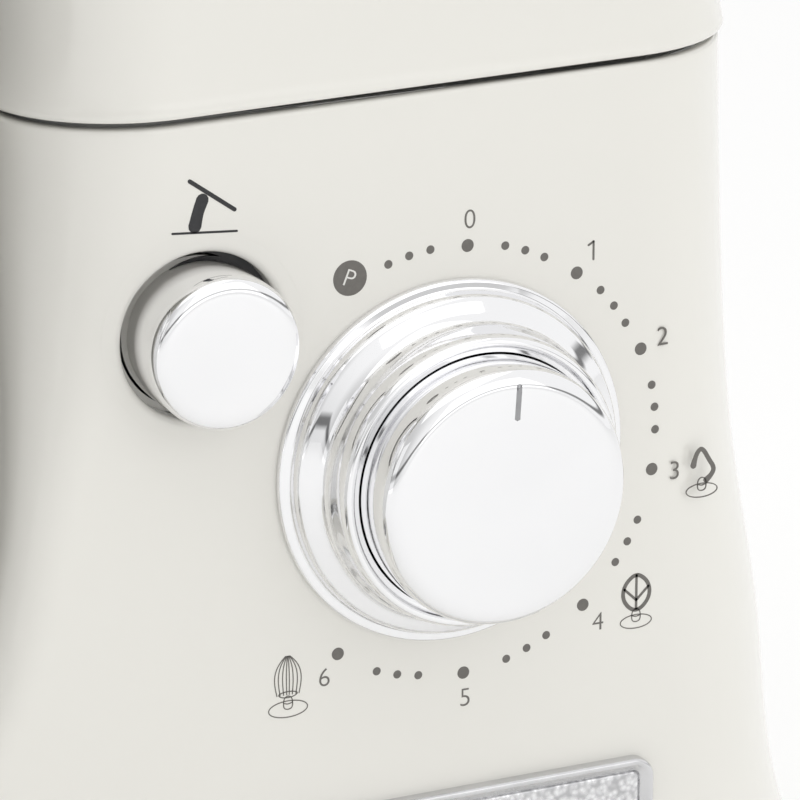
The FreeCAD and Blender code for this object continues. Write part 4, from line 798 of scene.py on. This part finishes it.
def inkStroke(path, width, closed=False):
    # a ribbon of even thickness along a smoothed line, its ends rounded
    path = smoothPath(path, closed)
    ahead, behind = np.roll(path, -1, 0), np.roll(path, 1, 0)
    if not closed:
        ahead[-1], behind[0] = path[-1], path[0]
    along = ahead - behind
    along /= np.maximum(np.linalg.norm(along, axis=1), 1e-9)[:, None]
    size = np.atleast_1d(np.asarray(width, float))
    half = np.interp(np.linspace(0, 1, len(path)), np.linspace(0, 1, len(size)), size) / 2
    if not closed:
        turn = np.radians(np.array([90.0, 65.0, 35.0]))[:, None]
        first = path[0] - along[0] * half[0] * np.sin(turn)
        last = path[-1] + along[-1] * half[-1] * np.sin(turn[::-1])
        path = np.concatenate([first, path, last])
        along = np.concatenate([np.repeat(along[:1], 3, 0), along, np.repeat(along[-1:], 3, 0)])
        half = np.concatenate([half[0] * np.cos(turn[:, 0]), half, half[-1] * np.cos(turn[::-1, 0])])
    side = np.stack([-along[:, 1], along[:, 0]], 1) * half[:, None]
    left, right = path + side, path - side
    low, high = -0.12, marks["lift"]
    corners = [(left, low), (right, low), (right, high), (left, high)]
    return np.stack([onPanel(edge[:, 0], edge[:, 1], lift) for edge, lift in corners], 1)


def inkDisc(right, up, radius, lift):
    # a disc with a slightly rounded rim
    turn = np.linspace(0, 2 * np.pi, 48, endpoint=False)
    share = np.array([0.0, 0.6, 0.93, 1.0, 1.0, 0.0])[:, None]
    rise = np.array([lift, lift, lift, lift * 0.5, -0.12, -0.12])[:, None] + np.zeros(48)
    return onPanel(right + radius * share * np.cos(turn), up + radius * share * np.sin(turn), rise)


def clockPlace(radius, angle):
    # angle clockwise from straight up, seen from outside
    turn = math.radians(angle)
    return radius * math.sin(turn), radius * math.cos(turn)


def inkPiece(name, strokes, material, discs=()):
    # strokes are (grid, closed) pairs; all of them make one object
    grids = [(stroke, closed, True) for stroke, closed in strokes] + [(disc, False, True) for disc in discs]
    points, faces = joined(grids)
    mesh = bpy.data.meshes.new(name)
    mesh.from_pydata((points * millimetre).tolist(), [], faces.tolist())
    return inkObject(name, mesh, material)


def inkObject(name, mesh, material):
    work = bmesh.new()
    work.from_mesh(mesh)
    bmesh.ops.remove_doubles(work, verts=work.verts, dist=5e-7)
    work.to_mesh(mesh)
    work.free()
    mesh.materials.clear()
    mesh.materials.append(material)
    piece = bpy.data.objects.new(name, mesh)
    bpy.context.scene.collection.objects.link(piece)
    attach(piece, "stand")
    return piece


def letterMesh(letter, height, right, up, turn, lift, low=-0.12):
    # a letter's outline made a mesh first, then scaled, turned and laid on the panel
    curve = bpy.data.curves.new("letter", "FONT")
    curve.body = letter
    curve.align_x, curve.align_y = "CENTER", "CENTER"
    curve.extrude = 0.5
    curve.offset = -0.012
    curve.resolution_u = 8
    holder = bpy.data.objects.new("letter", curve)
    bpy.context.scene.collection.objects.link(holder)
    bpy.context.view_layer.update()
    mesh = bpy.data.meshes.new_from_object(holder.evaluated_get(bpy.context.evaluated_depsgraph_get()))
    bpy.data.objects.remove(holder)
    points = np.empty(len(mesh.vertices) * 3)
    mesh.vertices.foreach_get("co", points)
    points = points.reshape(-1, 3)
    size = height / 0.73
    middle = (points.max(0) + points.min(0)) / 2
    flat = (points[:, :2] - middle[:2]) * size
    cosine, sine = math.cos(-turn), math.sin(-turn)
    u = flat[:, 0] * cosine - flat[:, 1] * sine + right
    v = flat[:, 0] * sine + flat[:, 1] * cosine + up
    faces = [list(polygon.vertices) for polygon in mesh.polygons]
    bpy.data.meshes.remove(mesh)
    return onPanel(u, v, np.where(points[:, 2] > 0, lift, low)), faces


def lettersPiece(name, letters, material):
    points, faces, count = [], [], 0
    for part, cells in letters:
        points.append(part)
        faces += [[corner + count for corner in cell] for cell in cells]
        count += len(part)
    mesh = bpy.data.meshes.new(name)
    mesh.from_pydata((np.concatenate(points) * millimetre).tolist(), [], faces)
    return inkObject(name, mesh, material)


def dotRing():
    # a large dot at each mark and three small ones between each pair
    discs = []
    ring = [(angle, radius) for label, angle, radius in marks["places"]]
    for angle, radius in ring:
        discs.append(inkDisc(*clockPlace(radius, angle), marks["bigDot"], marks["lift"]))
    for before, after in zip([(marks["park"], marks["ring"])] + ring[:-1], ring):
        for step in marks["spread"]:
            place = clockPlace((before[1] + after[1]) / 2, (before[0] + after[0]) / 2 + step)
            discs.append(inkDisc(*place, marks["smallDot"], marks["lift"]))
    discs.append(inkDisc(*clockPlace(marks["ring"] + 1.3, marks["park"]), marks["parkDisc"], marks["lift"]))
    return discs


inkPiece("dialDots", [], made["markGrey"], dotRing())
numeralPlaces = {label: clockPlace(radius + marks["numeralGap"], angle)
                 for label, angle, radius in marks["places"]}
numerals = [letterMesh(label, marks["numeralHeight"], *place, 0.0, marks["lift"])
            for label, place in numeralPlaces.items() if label != "1"]
lettersPiece("dialNumerals", numerals, made["markGrey"])
oneLines = ([(0.3, -1.75), (0.3, 1.75)], [(-0.75, 1.15), (0.3, 1.75)])
onePaths = [[(numeralPlaces["1"][0] + x, numeralPlaces["1"][1] + y) for x, y in path] for path in oneLines]
inkPiece("numeralOne", [(inkStroke(path, 0.42), False) for path in onePaths], made["markGrey"])
parkPlace = clockPlace(marks["ring"] + 1.3, marks["park"])
lettersPiece("parkLetter", [letterMesh("P", 3.5, *parkPlace, math.radians(22), 0.09, 0.02)], made["markPale"])

icons = {"hook": (54.0, -14.2), "leaf": (40.1, -39.0), "whisk": (-33.4, -44.7)}


def moved(path, place):
    return [(place[0] + x, place[1] + y) for x, y in path]


def ellipse(width, height, count=28):
    turn = np.linspace(0, 2 * np.pi, count, endpoint=False)
    return list(zip(width * np.cos(turn), height * np.sin(turn)))


def iconStand(place, size=1.0):
    # the small disc and stem that each tool stands on
    line = marks["line"]
    stem = [(-0.9, 0.2), (-0.95, 1.5), (-0.7, 2.3), (0.0, 2.7), (0.7, 2.3), (0.95, 1.5), (0.9, 0.2), (0.0, -0.15)]
    band = [(-0.9, 1.25), (0.0, 0.95), (0.9, 1.25)]
    return [(inkStroke(moved(ellipse(3.4 * size, 1.4 * size), place), line, True), True),
            (inkStroke(moved(stem, place), line, True), True), (inkStroke(moved(band, place), line), False)]


def hookIcon(place):
    hook = [(-1.9, 5.3), (-1.55, 6.7), (-1.1, 7.8), (-0.3, 8.6), (0.45, 7.9), (1.4, 6.2), (2.7, 4.2),
            (2.1, 2.9), (1.0, 2.0)]
    widths = (1.3, 0.95, 0.85, 0.9, 0.9, 0.95, 1.3)
    return iconStand(place) + [(inkStroke(moved(hook, place), widths), False)]


def leafIcon(place):
    leaf = [(-0.9, 2.4), (-2.6, 4.2), (-3.0, 6.2), (-2.2, 8.3), (0.0, 9.9), (2.2, 8.3), (3.0, 6.2),
            (2.6, 4.2), (0.9, 2.4)]
    bars = [[(0.0, 2.6), (0.0, 9.5)], [(0.0, 4.4), (-2.6, 6.9)], [(0.0, 4.4), (2.6, 6.9)]]
    strokes = [(inkStroke(moved(leaf, place), 0.80, True), True)]
    strokes += [(inkStroke(moved(bar, place), 0.52), False) for bar in bars]
    return iconStand(place) + strokes


def whiskIcon(place):
    rise = np.linspace(0, 1, 15)
    shape = 0.72 + 0.55 * rise - 1.12 * rise ** 3
    strokes = []
    for half in (3.15, 2.25, 1.25, 0.35):
        for side in (-1, 1):
            wire = list(zip(side * half * shape, 2.9 + 7.7 * rise))
            strokes.append((inkStroke(moved(wire, place), marks["line"]), False))
    collar = [(-2.2, 3.0), (-1.0, 2.3), (1.0, 2.3), (2.2, 3.0), (1.0, 3.5), (-1.0, 3.5)]
    strokes.append((inkStroke(moved(collar, place), marks["line"], True), True))
    return iconStand(place, 1.18) + strokes


def tiltIcon():
    base = [(-55.4, 51.1), (-42.8, 50.1)]
    column = [(-51.0, 52.0), (-50.4, 54.5), (-49.5, 56.7)]
    bar = [(-51.9, 60.5), (-43.2, 54.2)]
    lines = ((base, 0.42), (column, (2.6, 2.3, 2.5)), (bar, 0.80))
    return [(inkStroke(path, width), False) for path, width in lines]


iconStrokes = hookIcon(icons["hook"]) + leafIcon(icons["leaf"]) + whiskIcon(icons["whisk"])
inkPiece("toolIcons", iconStrokes, made["markGrey"])
inkPiece("tiltIcon", tiltIcon(), made["markBlack"])
print("marks ready")

# badge plate: a rounded bead, a bevel down to a fine groove, and a hammered field

badge = {"y": 107.6, "top": 63.2, "width": 84.0, "height": 22.0, "corner": 4.4}


def badgeRings(inset, lift):
    inset = np.asarray(inset, float)
    half = badge["width"] / 2 - inset
    corner = np.clip(badge["corner"] - inset, 0.2, None)
    low, high = badge["top"] - badge["height"] + inset, badge["top"] - inset
    outline = roundOutline(half, low, high, corner, corner, 14, 10)
    x = np.broadcast_to(np.asarray(lift, float)[:, None], outline.shape[:2])
    return np.stack([x, badge["y"] + outline[..., 0], outline[..., 1]], -1)


frameShape = softened([(0.0, 60.9), (0.0, 64.0), (0.5, 64.5), (1.1, 64.4), (2.7, 63.4), (2.9, 62.9),
                       (3.2, 62.9), (3.2, 60.9)],
                      [0.2, 0.4, 0.35, 0.3, 0.15, 0.1, 0.1, 0.2], 6)
gridPiece("badgeFrame", badgeRings(frameShape[:, 0], frameShape[:, 1]), "stand", badgeFrameMetal,
          ("badge_plate",), sharp=60)
fieldInset = np.concatenate([[11.0, 8.0, 3.0, 3.0, 3.25], np.linspace(3.6, 11.0, 12)])
fieldLift = np.concatenate([[61.0, 61.0, 61.0, 63.1, 63.35], np.full(12, 63.4)])
gridPiece("badgeField", badgeRings(fieldInset, fieldLift), "stand", badgeSilver, sharp=60)

# bowl, drip disc and beater

beater = {"y": -122.0, "bottom": 62.0, "top": 178.0, "width": 7.0, "depth": 8.0, "squareness": 0.55}
bowl = {"y": -91.0, "floor": 55.0, "flat": 46.0, "bend": 46.0, "side": 652.0, "steep": 15.0, "rim": 5.0, "wall": 1.4}


def bowlSide(inset):
    # floor, a quarter bend up to 15 degrees off upright, then a long arc to 5 degrees at the rim
    steep = math.radians(bowl["steep"])
    bend, side = bowl["bend"] - inset, bowl["side"] - inset
    turn = np.linspace(0, np.pi / 2 - steep, 30)
    low = np.stack([bowl["flat"] + bend * np.sin(turn), bowl["floor"] + bowl["bend"] - bend * np.cos(turn)], 1)
    lean = np.linspace(steep, math.radians(bowl["rim"]), 40)[1:]
    high = np.stack([low[-1, 0] + side * (np.cos(lean) - math.cos(steep)),
                     low[-1, 1] + side * (math.sin(steep) - np.sin(lean))], 1)
    floor = [(0.0, bowl["floor"] + inset), (20.0, bowl["floor"] + inset)]
    return np.concatenate([floor, low, high])


outside, inside = bowlSide(0.0), bowlSide(bowl["wall"])
rimTurn = np.radians(np.linspace(-60, 200, 18))
rimCentre = (outside[-1] + inside[-1]) / 2 + np.array([0.9, 0.0])
rimRoll = rimCentre + 2.0 * np.stack([np.cos(rimTurn), np.sin(rimTurn)], 1)
bowlShape = np.concatenate([outside, rimRoll, inside[::-1]])
gridPiece("mixingBowl", turned(bowlShape, (0, bowl["y"], 0), (0, 0, 1), 200), "bowl", polishedSteel,
          ("bowl",), sharp=50)
dripShape = softened([(6.2, 198.0), (26.4, 198.0), (28.0, 198.6), (26.6, 199.6), (13.0, 201.2),
                      (10.5, 204.4), (6.2, 204.6)],
                     [0.2, 0.8, 0.5, 2.0, 1.6, 0.9, 0.2], 6)
gridPiece("dripDisc", turned(dripShape, (0, beater["y"], 0), (0, 0, 1), 120), "tool", polishedSteel,
          ("tool_drip_disc",))



def castBar(path, width, depth, closed=False, steps=14):
    # a rounded bar carried along a line in the beater's plane; its section is a flattened ring
    path = smoothPath(path, closed, 3)
    ahead, behind = np.roll(path, -1, 0), np.roll(path, 1, 0)
    if not closed:
        ahead[-1], behind[0] = path[-1], path[0]
    along = ahead - behind
    along /= np.maximum(np.linalg.norm(along, axis=1), 1e-9)[:, None]
    turn = np.linspace(0, 2 * np.pi, steps, endpoint=False) + np.pi / steps
    across = np.sign(np.cos(turn)) * np.abs(np.cos(turn)) ** beater["squareness"] * width / 2
    deep = np.sign(np.sin(turn)) * np.abs(np.sin(turn)) ** beater["squareness"] * depth / 2
    if not closed:
        path = np.concatenate([path[:1], path, path[-1:]])
        along = np.concatenate([along[:1], along, along[-1:]])
    size = np.ones(len(path))
    if not closed:
        size[[0, -1]] = 0.0
    x = path[:, 0, None] - along[:, 1, None] * across * size[:, None]
    z = path[:, 1, None] + along[:, 0, None] * across * size[:, None]
    y = beater["y"] + deep * size[:, None] + 0 * x
    return np.stack([x, y, z], -1)


def flatBeater():
    low, top = beater["bottom"] + 3.5, beater["top"] - 3.5
    right = [(0.0, low), (16.0, low + 0.6), (31.5, low + 9.0), (42.0, low + 27.0), (46.5, low + 50.0),
             (45.0, low + 76.0), (36.0, low + 92.0), (20.0, top - 6.0), (7.0, top)]
    loop = right + [(-x, z) for x, z in right[::-1][:-1]]
    bars = [[(0.0, low), (0.0, top + 4)], [(0.0, low + 22), (40.0, low + 56)], [(0.0, low + 22), (-40.0, low + 56)],
            [(0.0, low + 56), (36.0, low + 88)], [(0.0, low + 56), (-36.0, low + 88)]]
    grids = [(castBar(loop, beater["width"], beater["depth"], True), True, True)]
    grids += [(castBar(bar, 5.6, 6.4), False, True) for bar in bars]
    hub = softened([(6.2, 166.0), (9.0, 166.0), (10.5, 170.0), (10.5, 192.0), (9.4, 196.0), (6.2, 196.0)],
                   [0.2, 2.0, 2.5, 2.5, 1.4, 0.2], 6)
    grids.append((turned(hub, (0, beater["y"], 0), (0, 0, 1), 64), True, True))
    return joined(grids)


beaterPoints, beaterFaces = flatBeater()
meshPiece("flatBeater", beaterPoints, beaterFaces, "tool", made["castAlloy"], ("flat_beater",), 50)

# feet and the mains inlet

footShape = softened([(0.0, 1.2), (8.5, 1.2), (9.5, 0.0), (13.6, 0.0), (15.0, 1.6), (15.0, 5.4), (0.0, 5.4)],
                     [0.0, 0.5, 0.6, 0.9, 1.2, 0.4, 0.0], 6)
for footName in sorted(name for name in nodes if name.startswith("foot_")):
    low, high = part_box(footName)
    middle = (low + high) / 2 / millimetre
    pieceName = "rubberFoot" + "".join(part.capitalize() for part in footName.split("_")[1:])
    gridPiece(pieceName, turned(footShape, (middle.x, middle.y, 0), (0, 0, 1), 72), "stand",
              made["footRubber"], (footName,))
low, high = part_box("cord_inlet")
inletEnd = high.y / millimetre
inletShape = softened([(4.0, -14.0), (12.0, -14.0), (12.0, -11.0), (9.0, -10.5), (9.0, -1.6), (7.6, 0.0),
                       (5.4, 0.0), (4.0, -1.2)],
                      [0.2, 0.4, 0.4, 0.4, 1.2, 0.8, 0.6, 0.6], 6)
gridPiece("cordGland", turned(inletShape, (0, inletEnd, 32.0), (0, 1, 0), 72), "stand",
          made["blackPlastic"], ("cord_inlet",))

# the pointer let into the knob's face

def knobPointer():
    # a shallow rounded bar along the face, turned a few degrees off upright
    turn = math.radians(5.0)
    across = np.array([-0.65, -0.5, 0.0, 0.5, 0.65, 0.5, 0.0, -0.5])
    lift = np.array([-0.2, 0.10, 0.20, 0.10, -0.2, -0.8, -0.9, -0.8])
    along = np.concatenate([[15.4], np.linspace(15.7, 22.2, 12), [22.5]])
    size = np.concatenate([[0.0], np.ones(12), [0.0]])[:, None]
    right = along[:, None] * math.sin(turn) + across * size * math.cos(turn)
    up = along[:, None] * math.cos(turn) - across * size * math.sin(turn)
    face = 26.6 - 1.1 * along[:, None] / 24.95
    past = np.clip(along[:, None] - 21.0, 0, None)
    face = face - (3.9 - np.sqrt(3.9 ** 2 - past ** 2))
    x = dial["x"] + face + lift * size
    return np.stack([x, dial["y"] + right, dial["z"] + up], -1)


gridPiece("knobPointer", knobPointer(), "speed_dial", made["pointerMetal"], ("knob_pointer",),
          wrapRows=False, sharp=60)
print("small pieces ready")

# camera, light and floor

camera = {"azimuth": 65.0, "elevation": 18.5, "distance": 0.93, "lens": 225.0, "aim": (0.062, 0.0958, 0.1432)}


def viewCamera(look):
    turn, lift = math.radians(look["azimuth"]), math.radians(look["elevation"])
    back = Vector((math.sin(turn) * math.cos(lift), -math.cos(turn) * math.cos(lift), math.sin(lift)))
    data = bpy.data.cameras.new("studioCamera")
    data.lens = look["lens"]
    data.sensor_width = 36.0
    data.clip_start = 0.01
    eye = bpy.data.objects.new("studioCamera", data)
    eye.location = Vector(look["aim"]) + back * look["distance"]
    eye.rotation_euler = back.to_track_quat("Z", "Y").to_euler()
    bpy.context.scene.collection.objects.link(eye)
    bpy.context.scene.camera = eye


viewCamera(camera)

lamps = {
    "overhead": {"place": (0.2, -0.1, 1.6), "aim": (0, 0, 0.15), "size": (1.6, 1.6), "power": 3.2},
    "dialSide": {"place": (1.5, 0.5, 0.7), "aim": (0, 0.05, 0.15), "size": (1.2, 1.2), "power": 2.0},
    "frontFill": {"place": (0.7, -1.6, 0.5), "aim": (0, -0.05, 0.15), "size": (0.8, 1.2), "power": 1.0},
}


def softLamp(name, look):
    data = bpy.data.lights.new(name, "AREA")
    data.shape = "RECTANGLE"
    data.size, data.size_y = look["size"]
    data.energy = look["power"]
    lamp = bpy.data.objects.new(name, data)
    lamp.location = look["place"]
    away = Vector(look["place"]) - Vector(look["aim"])
    lamp.rotation_euler = away.to_track_quat("Z", "Y").to_euler()
    bpy.context.scene.collection.objects.link(lamp)


for lampName, lampLook in lamps.items():
    softLamp(lampName, lampLook)

room = {"backdrop": 1.0, "white": 1.02, "dim": 0.62, "stripe": 0.22, "stripeHeight": 0.10}


def studioRoom(look):
    # a white room, dimmer towards the bowl end, with one thin dark stripe a little above the horizon;
    # straight to the eye it is plain white
    world = bpy.data.worlds.new("studioRoom")
    bpy.context.scene.world = world
    world.use_nodes = True
    tree = world.node_tree
    background = tree.nodes["Background"]
    background.inputs["Color"].default_value = (1, 1, 1, 1)
    place = tree.nodes.new("ShaderNodeTexCoord")
    parts = tree.nodes.new("ShaderNodeSeparateXYZ")
    tree.links.new(place.outputs["Generated"], parts.inputs["Vector"])
    shade = tree.nodes.new("ShaderNodeMapRange")
    shade.interpolation_type = "SMOOTHSTEP"
    for socket, value in (("From Min", -0.95), ("From Max", -0.15), ("To Min", look["dim"]), ("To Max", look["white"])):
        shade.inputs[socket].default_value = value
    tree.links.new(parts.outputs["Y"], shade.inputs["Value"])
    height = tree.nodes.new("ShaderNodeMath")
    height.operation = "SUBTRACT"
    height.inputs[1].default_value = look["stripeHeight"]
    tree.links.new(parts.outputs["Z"], height.inputs[0])
    away = tree.nodes.new("ShaderNodeMath")
    away.operation = "ABSOLUTE"
    tree.links.new(height.outputs[0], away.inputs[0])
    stripe = tree.nodes.new("ShaderNodeMapRange")
    for socket, value in (("From Min", 0.02), ("From Max", 0.06), ("To Min", look["stripe"]), ("To Max", 1.0)):
        stripe.inputs[socket].default_value = value
    tree.links.new(away.outputs[0], stripe.inputs["Value"])
    strength = tree.nodes.new("ShaderNodeMath")
    strength.operation = "MULTIPLY"
    tree.links.new(shade.outputs["Result"], strength.inputs[0])
    tree.links.new(stripe.outputs["Result"], strength.inputs[1])
    path = tree.nodes.new("ShaderNodeLightPath")
    pick = tree.nodes.new("ShaderNodeMix")
    tree.links.new(path.outputs["Is Camera Ray"], pick.inputs[0])
    tree.links.new(strength.outputs[0], pick.inputs[2])
    pick.inputs[3].default_value = look["backdrop"]
    tree.links.new(pick.outputs[0], background.inputs["Strength"])


studioRoom(room)


def paleFloor():
    # a flat pale sheet, eight metres square, at floor level
    share = np.linspace(-1, 1, 41)
    x, y = np.meshgrid(share * 4000.0, share * 4000.0, indexing="ij")
    points = np.stack([x, y, np.zeros_like(x)], -1)
    mesh = bpy.data.meshes.new("paleFloor")
    faces = gridFaces(41, 41, False, False)
    mesh.from_pydata((points.reshape(-1, 3) * millimetre).tolist(), [], faces.tolist())
    mesh.materials.append(finish("paleFloor", {
        "colour": (0.96, 0.96, 0.955), "shade": (0.98, 0.98, 0.975), "patchScale": 3.0, "roughness": 0.7,
        "spread": 0.05, "grainScale": 300.0, "grainDepth": 0.00002}))
    floor = bpy.data.objects.new("paleFloor", mesh)
    bpy.context.scene.collection.objects.link(floor)


paleFloor()
bpy.context.scene.view_settings.view_transform = "Standard"
print("studio ready")
